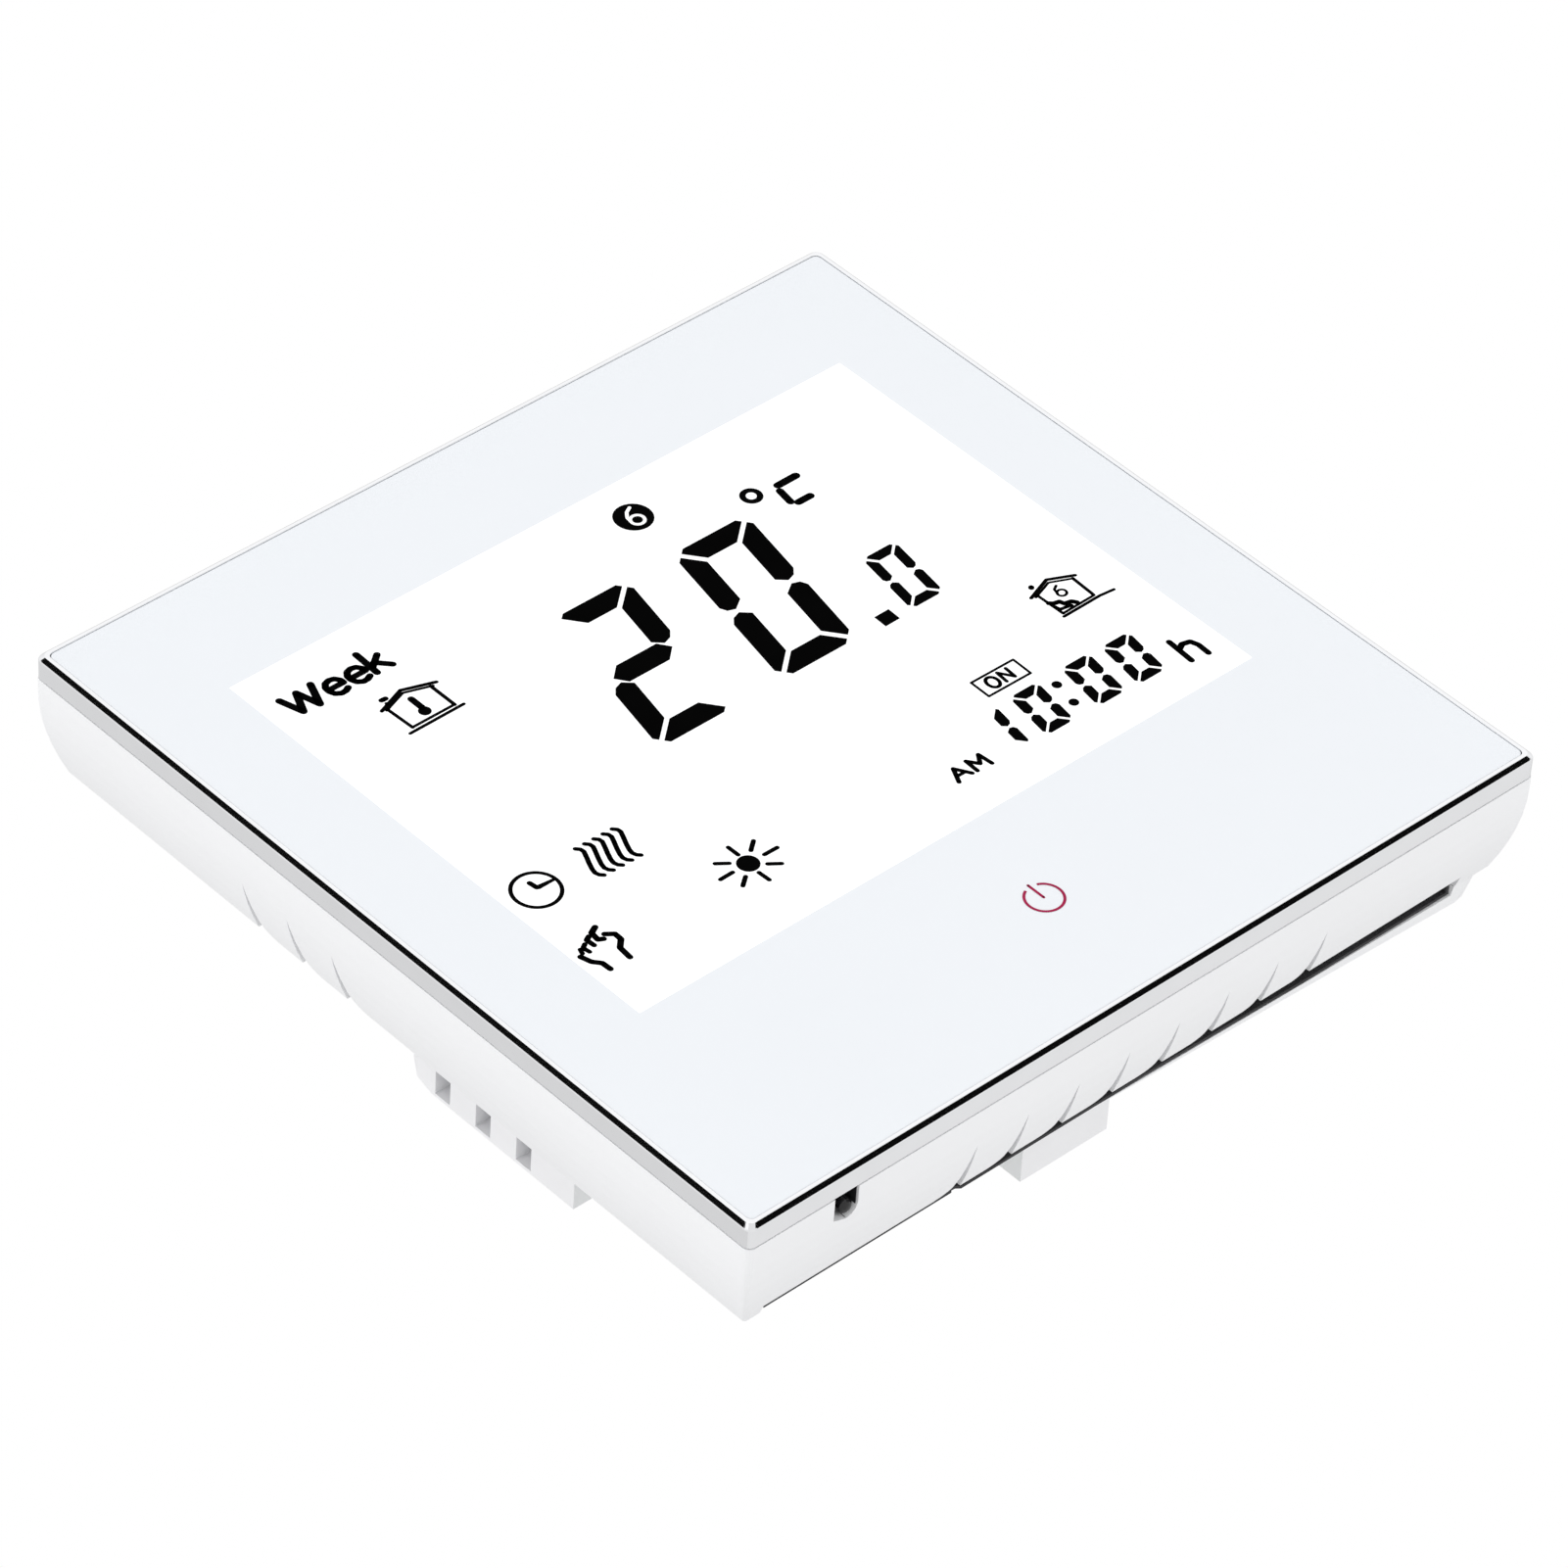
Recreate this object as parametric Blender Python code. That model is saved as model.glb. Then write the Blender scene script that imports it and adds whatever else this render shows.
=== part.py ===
"""Touch-screen wall thermostat for a square 86 mm wall box.

Run with: blender --background --python part.py

Frame: origin in the middle of the wall plane, which is the back of the steel
mounting plate. +Z is up, +X is to the right seen from the front, and the face
looks towards -Y. Every size below is in millimetres, and Blender's scene is in
metres. A "depth" counts back from the outer rim of the chrome trim.
"""

import math

import bmesh
import bpy
from mathutils import Matrix, Vector

MM = 0.001

# Overall
FACE = 86.0  # width and height of the trim
FRONT_DEPTH = 15.5  # trim rim to the wall
BOX_DEPTH = 19.5  # wall to the rear of the power box
SEAM = 0.1  # gap between pieces that touch
FIT = 0.3  # gap round a piece that drops into another

# Chrome trim
TRIM_BEVEL = 0.4
TRIM_LAND = 0.35
TRIM_LEDGE = 1.8
TRIM_LEDGE_THICKNESS = 0.35
TRIM_CORNER = 0.7

# Glass, touch film, liquid crystal cell and backlight
GLASS_GAP = 0.15
GLASS_THICKNESS = 1.8
FILM_THICKNESS = 0.14
LCD_WIDTH = 72.0
LCD_HEIGHT = 55.0
LCD_THICKNESS = 2.2
LCD_RISE = 5.1  # centre of the display above the centre of the face
LCD_CONTACT_LEDGE = 3.4
LIGHT_GUIDE_THICKNESS = 2.0
REFLECTOR_THICKNESS = 0.4
HOLDER_WALL = 1.8
ZEBRA_WIDTH = 2.0

# Front housing
SHELL_WALL = 1.6
FLANGE_THICKNESS = 1.6
CURVE_START = 3.2  # depth where the sides start to curve in
CURVE_RATE = 0.0235  # inset per square of the depth past the start
CORNER_SHARPENING = 0.035  # how the corner radius shrinks with depth
BOSS_RADIUS = 2.2
BOSS_BORE = 1.0
BOSS_X = 33.0
BOSS_TOP = 37.2
BOSS_BOTTOM = -36.0

# Vents and the slot along the bottom
VENT_PITCH = 5.5
VENT_LENGTH = 5.0
VENT_GAP = 1.6
VENT_LEAN = 0.32  # how far the tip lies past the foot
BOTTOM_VENTS = 8
BOTTOM_VENT_FIRST = 19.5
SIDE_VENTS = 3
SIDE_VENT_FIRST = 16.7
BOTTOM_EDGE = 10.8  # depth of the bottom wall's rear edge along the slot
BOTTOM_EDGE_RIGHT = 10.55  # the same, at the slot's right end
SEAL_EDGE = 10.85  # the same, left of the slot
SLOT_LEFT = -19.9
SLOT_RIGHT = 37.0
SLOT_CUT_LEFT = 0.6  # cut into the base's rim along the slot, left part
SLOT_CUT_RIGHT = 1.1  # the same, at the right end
SLOT_TAPER_START = 2.0  # where the cut starts to get deeper
SLOT_TAPER_END = 20.0
SEAL_HEIGHT = 0.5

# Air sensor in the lower left corner
SENSOR_WINDOW_LEFT = -34.1
SENSOR_WINDOW_WIDTH = 2.5
SENSOR_WINDOW_DEPTH = 4.8
SENSOR_BEAD_RADIUS = 0.8
SENSOR_BEAD_DEPTH = 3.95
SENSOR_LEAD_RADIUS = 0.2

# Display board
BOARD_THICKNESS = 1.6
BOARD_MARGIN = 1.1
CHIP_SIZE = 10.0
CHIP_HEIGHT = 1.4
BATTERY_RADIUS = 6.3
BATTERY_HEIGHT = 2.0
SPRING_RADIUS = 2.6
SPRING_WIRE = 0.2
SPRING_TURNS = 4
POWER_KEY_Z = -29.7
BOARD_SCREW_RADIUS = 0.9
BOARD_SCREW_HEAD = 1.9
BOARD_SCREW_HEAD_HEIGHT = 1.1

# Board-to-board connector
PIN_ROWS = 2
PIN_COUNT = 5
PIN_PITCH = 2.54
PIN_SIZE = 0.64
PIN_HOLE = 0.95
HEADER_X = 0.0
HEADER_Z = 9.0
HEADER_HEIGHT = 2.2
PIN_REACH = 4.0  # how far the pins go into the socket

# Rear base
BASE_SETBACK = 0.8  # rim's rear edge to the wall
BASE_RIM = 2.7
BASE_FLOOR = 2.0
BASE_FRONT_INSET = 0.6  # extra inset of the rim's front edge, except lower right
BASE_REAR_INSET = 5.6  # inset of the rim's rear edge, except lower right
BASE_CORNER_INSET = 2.3  # inset of the rim's rear edge at the lower right
BASE_CORNER = 2.4
SHEET_THICKNESS = 0.3
SCREW_PITCH = 60.0  # wall box screws
SCREW_SLOT_WIDTH = 4.2
SCREW_SLOT_LENGTH = 8.0
SCREW_ACCESS_RADIUS = 4.6

# Steel mounting plate
PLATE_THICKNESS = 1.1
PLATE_HALF = 35.8
PLATE_CORNER = 3.0

# Power box behind the plate
BOX_WALL = 1.5
TOWER_HALF_WIDTH = 27.0
TOWER_TOP = 17.4
TOWER_BOTTOM = -6.4
TOWER_CORNER = 6.0
COLUMN_LEFT = 3.4
COLUMN_RIGHT = 13.3
COLUMN_BOTTOM = -27.35
DECK_HALF_WIDTH = 25.0
DECK_BOTTOM = -22.0
DECK_DEPTH = 4.8
BOX_VENTS = 3
BOX_VENT_PITCH = 5.06
BOX_VENT_FIRST = 9.95
BOX_VENT_WIDTH = 1.85
BOX_VENT_DEPTH = 2.85
BOX_VENT_REACH = 2.4
BOX_VENT_SILL = 0.35  # thickness left behind each window
POWER_BOARD_FRONT = 1.6
BOX_SCREW_X = 20.0
BOX_SCREW_Z = 12.6
BOX_POST_RADIUS = 1.9
POWER_BOARD_CHAMFER = 9.0

# Terminals
MAINS_WAYS = 4
MAINS_PITCH = 6.3
MAINS_LEFT = -22.9
SENSOR_WAYS = 2
SENSOR_PITCH = 4.8
SENSOR_LEFT = 13.9
TERMINAL_BOTTOM = -20.2
TERMINAL_DEPTH = 11.0
TERMINAL_HEIGHT = 11.6
TERMINAL_RIB_SHARE = 0.3  # of the pitch
CLAMP_WALL = 0.55
CLAMP_HEIGHT = 5.0
CLAMP_TRAVEL = 2.4
CLAMP_PLAY = 0.2
TERMINAL_SCREW_HEAD_HEIGHT = 1.4

# Relay
RELAY_LEFT = -20.5
RELAY_WIDTH = 17.0
RELAY_BOTTOM = -4.0
RELAY_DEPTH = 13.0
RELAY_HEADROOM = 2.3  # to the inside of the box
RELAY_WALL = 0.7
RELAY_COIL_RADIUS = 4.6

# Transformer and the loose components
TRANSFORMER_LEFT = -2.5
TRANSFORMER_WIDTH = 14.0
TRANSFORMER_BOTTOM = -3.0
TRANSFORMER_DEPTH = 13.0
TRANSFORMER_HEADROOM = 2.7
TRANSFORMER_LIMB = 2.6
CAPACITOR_RADIUS = 4.0
CAPACITOR_HEADROOM = 2.7

ROUND_STEPS = 4  # segments in a quarter turn of an outline's corner

# Derived depths, all counted back from the rim of the trim
GLASS_FRONT = -TRIM_BEVEL
GLASS_REAR = GLASS_FRONT + GLASS_THICKNESS
TRIM_SIDE = GLASS_REAR + GLASS_GAP + TRIM_LEDGE_THICKNESS
FILM_FRONT = GLASS_REAR + SEAM
LCD_FRONT = FILM_FRONT + FILM_THICKNESS + SEAM
LCD_REAR = LCD_FRONT + LCD_THICKNESS
GUIDE_FRONT = LCD_REAR + SEAM
GUIDE_REAR = GUIDE_FRONT + LIGHT_GUIDE_THICKNESS
REFLECTOR_FRONT = GUIDE_REAR + SEAM
REFLECTOR_REAR = REFLECTOR_FRONT + REFLECTOR_THICKNESS
FLANGE_FRONT = TRIM_SIDE + SEAM
FLANGE_REAR = FLANGE_FRONT + FLANGE_THICKNESS
BOARD_FRONT = REFLECTOR_REAR + 2.5 * FIT
BOARD_REAR = BOARD_FRONT + BOARD_THICKNESS
BASE_REAR = FRONT_DEPTH - BASE_SETBACK
BASE_FRONT = BASE_REAR - BASE_RIM
SHELL_REAR = BASE_FRONT - SEAM
PLATE_FRONT = FRONT_DEPTH - PLATE_THICKNESS
FLOOR_REAR = PLATE_FRONT - SEAM
FLOOR_FRONT = FLOOR_REAR - BASE_FLOOR
SHEET_REAR = FLOOR_FRONT - SEAM
SHEET_FRONT = SHEET_REAR - SHEET_THICKNESS
POWER_BOARD_REAR = POWER_BOARD_FRONT + BOARD_THICKNESS
PARTS_LEVEL = POWER_BOARD_REAR + SEAM
PARTS_ROOM = BOX_DEPTH - BOX_WALL - PARTS_LEVEL
RELAY_HEIGHT = PARTS_ROOM - RELAY_HEADROOM
TRANSFORMER_HEIGHT = PARTS_ROOM - TRANSFORMER_HEADROOM
CAPACITOR_HEIGHT = PARTS_ROOM - CAPACITOR_HEADROOM
HALF = FACE / 2


# ---------------------------------------------------------------- materials


def material(name, colour, roughness=0.5, metallic=0.0):
    """A Principled material, made once for each name."""
    found = bpy.data.materials.get(name)
    if found:
        return found
    made = bpy.data.materials.new(name)
    made.use_nodes = True
    shader = made.node_tree.nodes["Principled BSDF"]
    shader.inputs["Base Color"].default_value = (*colour, 1.0)
    shader.inputs["Roughness"].default_value = roughness
    shader.inputs["Metallic"].default_value = metallic
    return made


def white_plastic():
    return material("white_plastic", (0.86, 0.87, 0.88), 0.35)


def inner_plastic():
    return material("inner_plastic", (0.80, 0.80, 0.79), 0.5)


def black_plastic():
    return material("black_plastic", (0.02, 0.02, 0.022), 0.45)


def terminal_plastic():
    return material("terminal_plastic", (0.05, 0.22, 0.12), 0.5)


def back_painted_glass():
    return material("back_painted_glass", (0.85, 0.88, 0.91), 0.05)


def chrome():
    return material("chrome", (0.80, 0.81, 0.83), 0.06, 1.0)


def zinc_steel():
    return material("zinc_steel", (0.62, 0.64, 0.66), 0.35, 1.0)


def copper():
    return material("copper", (0.72, 0.36, 0.20), 0.4, 1.0)


def brass():
    return material("brass", (0.75, 0.60, 0.28), 0.3, 1.0)


def board_green():
    return material("board_green", (0.03, 0.20, 0.09), 0.4)


def lcd_grey():
    return material("lcd_grey", (0.78, 0.80, 0.80), 0.2)


def light_guide_clear():
    return material("light_guide_clear", (0.93, 0.95, 0.97), 0.1)


def ferrite():
    return material("ferrite", (0.10, 0.10, 0.11), 0.6)


def rubber():
    return material("rubber", (0.06, 0.06, 0.065), 0.8)


def blue_coating():
    return material("blue_coating", (0.08, 0.16, 0.42), 0.4)


# ------------------------------------------------------------ shape helpers


def depth(value):
    """The Y of a depth counted back from the trim's rim."""
    return value - FRONT_DEPTH


def side_inset(at):
    """How far the white sides have curved in at a depth."""
    return CURVE_RATE * max(0.0, at - CURVE_START) ** 2


def fillet_outline(corners, radius):
    """Outline of a convex polygon with each corner turned into an arc."""
    points = []
    count = len(corners)
    for index, corner in enumerate(corners):
        before = (Vector(corners[index - 1]) - Vector(corner)).normalized()
        after = (Vector(corners[(index + 1) % count]) - Vector(corner)).normalized()
        half_angle = before.angle(after) / 2
        reach = radius / math.tan(half_angle)
        centre = Vector(corner) + (before + after).normalized() * radius / math.sin(half_angle)
        start = Vector(corner) + before * reach - centre
        end = Vector(corner) + after * reach - centre
        for step in range(ROUND_STEPS + 1):
            share = step / ROUND_STEPS
            points.append(centre + start.slerp(end, share).normalized() * radius)
    return [tuple(point) for point in points]


def rounded_rectangle(left, right, bottom, top, radius):
    corners = [(left, bottom), (right, bottom), (right, top), (left, top)]
    return fillet_outline(corners, radius)


def rectangle(left, right, bottom, top):
    return [(left, bottom), (right, bottom), (right, top), (left, top)]


def face_outline(at, inset=0.0):
    """The housing's outline at a depth, or one a wall further in."""
    half = HALF - side_inset(at) - inset
    radius = max(TRIM_CORNER - CORNER_SHARPENING * at - inset / 3, 0.25)
    return rounded_rectangle(-half, half, -half, half, radius)


def close_up(mesh):
    bmesh.ops.remove_doubles(mesh, verts=mesh.verts, dist=1e-6)
    bmesh.ops.recalc_face_normals(mesh, faces=mesh.faces)
    return mesh


def loft(rings):
    """A closed solid through rings of points, with both ends capped."""
    mesh = bmesh.new()
    loops = [[mesh.verts.new(point) for point in ring] for ring in rings]
    for first, second in zip(loops, loops[1:]):
        count = len(first)
        for index in range(count):
            following = (index + 1) % count
            quad = (first[index], first[following], second[following], second[index])
            mesh.faces.new(quad)
    mesh.faces.new(loops[0])
    mesh.faces.new(loops[-1])
    return close_up(mesh)


def ring_at(outline, level):
    """A front-view outline (x, z) placed at one Y."""
    return [(x, level, z) for x, z in outline]


def prism(outline, front, rear):
    """A front-view outline (x, z) carried from one Y to another."""
    return loft([ring_at(outline, front), ring_at(outline, rear)])


def prism_up(outline, low, high):
    """A top-view outline (x, y) carried from one Z to another."""
    rings = [[(x, y, level) for x, y in outline] for level in (low, high)]
    return loft(rings)


def prism_across(outline, left, right):
    """A side-view outline (y, z) carried from one X to another."""
    rings = [[(level, y, z) for y, z in outline] for level in (left, right)]
    return loft(rings)


def block(low, high):
    return prism(rectangle(low[0], high[0], low[2], high[2]), low[1], high[1])


def disc(x, z, radius, front, rear, segments=20):
    """A cylinder whose axis runs along Y."""
    outline = []
    for step in range(segments):
        angle = 2 * math.pi * step / segments
        outline.append((x + radius * math.cos(angle), z + radius * math.sin(angle)))
    return prism(outline, front, rear)


def turned(x, z, profile, segments=20):
    """A solid turned about a Y axis, from (radius, y) pairs front to rear."""
    rings = []
    for radius, level in profile:
        ring = []
        for step in range(segments):
            angle = 2 * math.pi * step / segments
            ring.append((x + radius * math.cos(angle), level, z + radius * math.sin(angle)))
        rings.append(ring)
    return loft(rings)


def frame_ring(outer, inner, front, rear):
    """A picture-frame solid between two outlines with equal point counts."""
    rings = [ring_at(inner, front), ring_at(outer, front), ring_at(outer, rear), ring_at(inner, rear)]
    mesh = bmesh.new()
    loops = [[mesh.verts.new(point) for point in ring] for ring in rings]
    for first, second in zip(loops, loops[1:] + loops[:1]):
        for index in range(len(first)):
            following = (index + 1) % len(first)
            quad = (first[index], first[following], second[following], second[index])
            mesh.faces.new(quad)
    return close_up(mesh)


def together(*meshes):
    """Several meshes put into one, for a cutter of separate shapes."""
    result = bmesh.new()
    for mesh in meshes:
        holder = bpy.data.meshes.new("holder")
        mesh.to_mesh(holder)
        mesh.free()
        result.from_mesh(holder)
        bpy.data.meshes.remove(holder)
    return result


# ----------------------------------------------------------- object helpers


def add_object(name, mesh, look, origin=(0.0, 0.0, 0.0)):
    """An object from a bmesh in millimetres, with its origin where asked."""
    shift = Matrix.Translation(-Vector(origin))
    mesh.transform(Matrix.Scale(MM, 4) @ shift)
    data = bpy.data.meshes.new(name)
    mesh.to_mesh(data)
    mesh.free()
    data.materials.append(look)
    data.shade_smooth()
    data.set_sharp_from_angle(angle=math.radians(32))
    obj = bpy.data.objects.new(name, data)
    obj.location = Vector(origin) * MM
    bpy.context.scene.collection.objects.link(obj)
    return obj


def shape_with(obj, mesh, operation, label):
    """Cuts a mesh from the object, or joins it on, with a Boolean modifier."""
    helper = add_object(f"{obj.name}_{label}", mesh, obj.data.materials[0])
    helper.hide_render = True
    helper.display_type = "WIRE"
    modifier = obj.modifiers.new(label, "BOOLEAN")
    modifier.operation = operation
    modifier.solver = "EXACT"
    modifier.object = helper
    return obj


def cut(obj, mesh, label):
    return shape_with(obj, mesh, "DIFFERENCE", label)


def join(obj, mesh, label):
    return shape_with(obj, mesh, "UNION", label)


def wire(name, points, radius, look):
    """A round wire through points, as a curve with filled caps."""
    curve = bpy.data.curves.new(name, "CURVE")
    curve.dimensions = "3D"
    curve.bevel_depth = radius * MM
    curve.bevel_resolution = 1
    curve.use_fill_caps = True
    spline = curve.splines.new("POLY")
    spline.points.add(len(points) - 1)
    for target, point in zip(spline.points, points):
        target.co = (*(Vector(point) * MM), 1.0)
    curve.materials.append(look)
    obj = bpy.data.objects.new(name, curve)
    bpy.context.scene.collection.objects.link(obj)
    return obj


def slotted_screw(name, centre, levels, radii, look, slot_width=0.8, slot_depth=0.7):
    """A screw along Y: head from levels[0] to levels[1], shank on to levels[2]."""
    x, z = centre
    head, shank = radii
    top, shoulder, tip = levels
    inward = 1 if tip > top else -1
    profile = [(head * 0.85, top), (head, top + inward * 0.25), (head, shoulder)]
    profile += [(shank, shoulder), (shank, tip - inward * 0.4), (shank * 0.55, tip)]
    obj = add_object(name, turned(x, z, profile, 16), look, (x, 0.0, z))
    near = min(top - inward * 0.5, top + inward * slot_depth)
    far = max(top - inward * 0.5, top + inward * slot_depth)
    slot = block((x - head - 1, near, z - slot_width / 2), (x + head + 1, far, z + slot_width / 2))
    return cut(obj, slot, "slot")


# ------------------------------------------------------------ front of face


def make_trim():
    """Chrome frame: bevelled outer rim, narrow land and a ledge for the glass."""
    inner_wall = TRIM_BEVEL + TRIM_LAND
    profile = [
        (inner_wall, GLASS_FRONT),
        (TRIM_BEVEL, GLASS_FRONT),
        (0.0, 0.0),
        (0.0, TRIM_SIDE),
        (TRIM_LEDGE, TRIM_SIDE),
        (TRIM_LEDGE, TRIM_SIDE - TRIM_LEDGE_THICKNESS),
        (inner_wall, TRIM_SIDE - TRIM_LEDGE_THICKNESS),
    ]
    mesh = bmesh.new()
    loops = []
    for inset, at in profile:
        half = HALF - inset
        radius = max(TRIM_CORNER - inset / 3, 0.15)
        outline = rounded_rectangle(-half, half, -half, half, radius)
        loops.append([mesh.verts.new((x, depth(at), z)) for x, z in outline])
    for first, second in zip(loops, loops[1:] + loops[:1]):
        for index in range(len(first)):
            following = (index + 1) % len(first)
            quad = (first[index], first[following], second[following], second[index])
            mesh.faces.new(quad)
    add_object("chrome_trim", close_up(mesh), chrome())


def glass_half():
    return HALF - TRIM_BEVEL - TRIM_LAND - GLASS_GAP


def make_glass():
    half = glass_half()
    outline = rounded_rectangle(-half, half, -half, half, TRIM_CORNER / 2)
    edge = 0.12
    small = rounded_rectangle(-half + edge, half - edge, -half + edge, half - edge, TRIM_CORNER / 2)
    rings = [
        ring_at(small, depth(GLASS_FRONT)),
        ring_at(outline, depth(GLASS_FRONT + edge)),
        ring_at(outline, depth(GLASS_REAR)),
    ]
    add_object("glass_panel", loft(rings), back_painted_glass())


def make_touch_film():
    half = HALF - TRIM_LEDGE - FIT
    front = depth(FILM_FRONT)
    sheet = block((-half, front, -half), (half, front + FILM_THICKNESS, half))
    add_object("touch_film", sheet, light_guide_clear())


def lcd_box(front, rear, grow=0.0, lift=0.0):
    """A box behind the display, larger by grow all round, its foot raised by lift."""
    half_width = LCD_WIDTH / 2 + grow
    bottom = LCD_RISE - LCD_HEIGHT / 2 - grow + lift
    top = LCD_RISE + LCD_HEIGHT / 2 + grow
    return block((-half_width, depth(front), bottom), (half_width, depth(rear), top))


def make_display():
    """Liquid crystal cell, light guide, reflector, holder and its connector."""
    add_object("lcd_cell", lcd_box(LCD_FRONT, LCD_REAR), lcd_grey())
    guide = lcd_box(GUIDE_FRONT, GUIDE_REAR, 0.0, LCD_CONTACT_LEDGE)
    add_object("light_guide", guide, light_guide_clear())
    reflector = lcd_box(REFLECTOR_FRONT, REFLECTOR_REAR, 0.0, LCD_CONTACT_LEDGE)
    add_object("backlight_reflector", reflector, white_plastic())

    inner_half = LCD_WIDTH / 2 + FIT
    outer_half = inner_half + HOLDER_WALL
    low = LCD_RISE - LCD_HEIGHT / 2 - FIT
    high = LCD_RISE + LCD_HEIGHT / 2 + FIT
    outer = rounded_rectangle(-outer_half, outer_half, low - HOLDER_WALL, high + HOLDER_WALL, 1.2)
    inner = rounded_rectangle(-inner_half, inner_half, low, high, 0.4)
    front = depth(FLANGE_REAR + SEAM)
    holder = frame_ring(outer, inner, front, depth(BOARD_FRONT - SEAM))
    add_object("display_holder", holder, inner_plastic())

    strip_low = LCD_RISE - LCD_HEIGHT / 2 + FIT
    strip_front = depth(LCD_REAR + SEAM)
    strip = block(
        (-LCD_WIDTH / 2 + 3, strip_front, strip_low),
        (LCD_WIDTH / 2 - 3, depth(BOARD_FRONT - SEAM), strip_low + ZEBRA_WIDTH),
    )
    add_object("elastomer_connector", strip, rubber())


# ------------------------------------------------------------ front housing


def vent_outline(start, tip, rear, along=1):
    """Notch with one straight side and one that sweeps away to the rear edge.

    The first coordinate runs along the wall and the second is the depth. The
    notch opens from its tip towards the rear, and sweeps to lower values.
    """
    length = rear - tip
    points = [(start, rear + 1.0), (start, rear), (start + VENT_LEAN, tip)]
    straight_end = tip + length * 0.72
    gap = VENT_GAP * 0.4
    points.append((start - gap * 0.3, tip + length * 0.4))
    points.append((start - gap, straight_end))
    radius = length * 0.42
    for step in range(1, ROUND_STEPS + 2):
        turn = math.radians(22 + step * 13.6)
        reach = radius * (1 - math.cos(turn)) / (1 - math.cos(math.radians(90)))
        fall = (rear - straight_end) * math.sin(turn)
        points.append((start - gap - reach, straight_end + fall))
    points.append((points[-1][0], rear + 1.0))
    return [(along * value, depth(level)) for value, level in points]


def bottom_vents():
    low = -HALF - 1
    high = -HALF + side_inset(SHELL_REAR) + 2.4 * SHELL_WALL
    shapes = []
    for index in range(BOTTOM_VENTS):
        start = BOTTOM_VENT_FIRST - index * VENT_PITCH
        outline = vent_outline(start, BOTTOM_EDGE - VENT_LENGTH, BOTTOM_EDGE)
        shapes.append(prism_up(outline, low, high))
    return together(*shapes)


def side_vents():
    left = -HALF - 1
    right = -HALF + side_inset(SHELL_REAR) + 2.4 * SHELL_WALL
    shapes = []
    for index in range(SIDE_VENTS):
        start = SIDE_VENT_FIRST - index * VENT_PITCH
        outline = vent_outline(start, SHELL_REAR - VENT_LENGTH - FIT, SHELL_REAR)
        side_view = [(level, value) for value, level in outline]
        shapes.append(prism_across(side_view, left, right))
    return together(*shapes)


def make_housing():
    """White shell: curved sides, a front flange round the display, and bosses."""
    stations = [FLANGE_FRONT, CURVE_START]
    steps = 6
    for step in range(1, steps + 1):
        stations.append(CURVE_START + (SHELL_REAR - CURVE_START) * step / steps)
    outer = [ring_at(face_outline(at), depth(at)) for at in stations]
    inner_stations = [at for at in reversed(stations) if at > FLANGE_REAR + 0.5]
    inner = [ring_at(face_outline(at, SHELL_WALL), depth(at)) for at in inner_stations]
    inner.append(ring_at(face_outline(FLANGE_REAR, SHELL_WALL), depth(FLANGE_REAR)))
    shell = add_object("front_housing", loft(outer + inner), white_plastic())

    window = lcd_box(FLANGE_FRONT - 1, FLANGE_REAR + 1, FIT)
    cut(shell, window, "display_window")

    bosses = []
    bores = []
    for x in (-BOSS_X, BOSS_X):
        for z in (BOSS_BOTTOM, BOSS_TOP):
            front = depth(FLANGE_REAR - 0.4)
            rear = depth(BOARD_FRONT - SEAM)
            bosses.append(disc(x, z, BOSS_RADIUS, front, rear, 16))
            bores.append(disc(x, z, BOSS_BORE, front + 0.8, rear + 1, 12))
    join(shell, together(*bosses), "bosses")
    cut(shell, together(*bores), "boss_bores")
    cut(shell, bottom_vents(), "bottom_vents")
    cut(shell, side_vents(), "side_vents")

    wall_low = -HALF - 1
    wall_high = -HALF + side_inset(SHELL_REAR) + SHELL_WALL + 0.8
    slot = [
        (SLOT_LEFT, depth(BOTTOM_EDGE)),
        (SLOT_TAPER_START, depth(BOTTOM_EDGE)),
        (SLOT_RIGHT, depth(BOTTOM_EDGE_RIGHT)),
        (SLOT_RIGHT, depth(SHELL_REAR + 1)),
        (SLOT_LEFT, depth(SHELL_REAR + 1)),
    ]
    cut(shell, prism_up(slot, wall_low, wall_high), "slot")
    seal_left = -HALF + side_inset(SHELL_REAR) + SHELL_WALL
    seal = rectangle(seal_left, SLOT_LEFT + 0.5, depth(SEAL_EDGE), depth(SHELL_REAR + 1))
    cut(shell, prism_up(seal, wall_low, wall_high), "seal_edge")

    sensor_right = SENSOR_WINDOW_LEFT + SENSOR_WINDOW_WIDTH
    width = SENSOR_WINDOW_WIDTH
    corners = [
        (SENSOR_WINDOW_LEFT, depth(FLANGE_FRONT - 1)),
        (sensor_right, depth(FLANGE_FRONT - 1)),
        (sensor_right, depth(SENSOR_WINDOW_DEPTH - 0.4 * width)),
        (sensor_right - 0.08 * width, depth(SENSOR_WINDOW_DEPTH - 0.2 * width)),
        (sensor_right - 0.24 * width, depth(SENSOR_WINDOW_DEPTH - 0.06 * width)),
        (sensor_right - 0.44 * width, depth(SENSOR_WINDOW_DEPTH)),
        (SENSOR_WINDOW_LEFT + 0.2 * width, depth(SENSOR_WINDOW_DEPTH - 0.12 * width)),
        (SENSOR_WINDOW_LEFT, depth(SENSOR_WINDOW_DEPTH - 0.2 * width)),
    ]
    cut(shell, prism_up(corners, wall_low, -HALF + SHELL_WALL + 0.5), "sensor_window")


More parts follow.
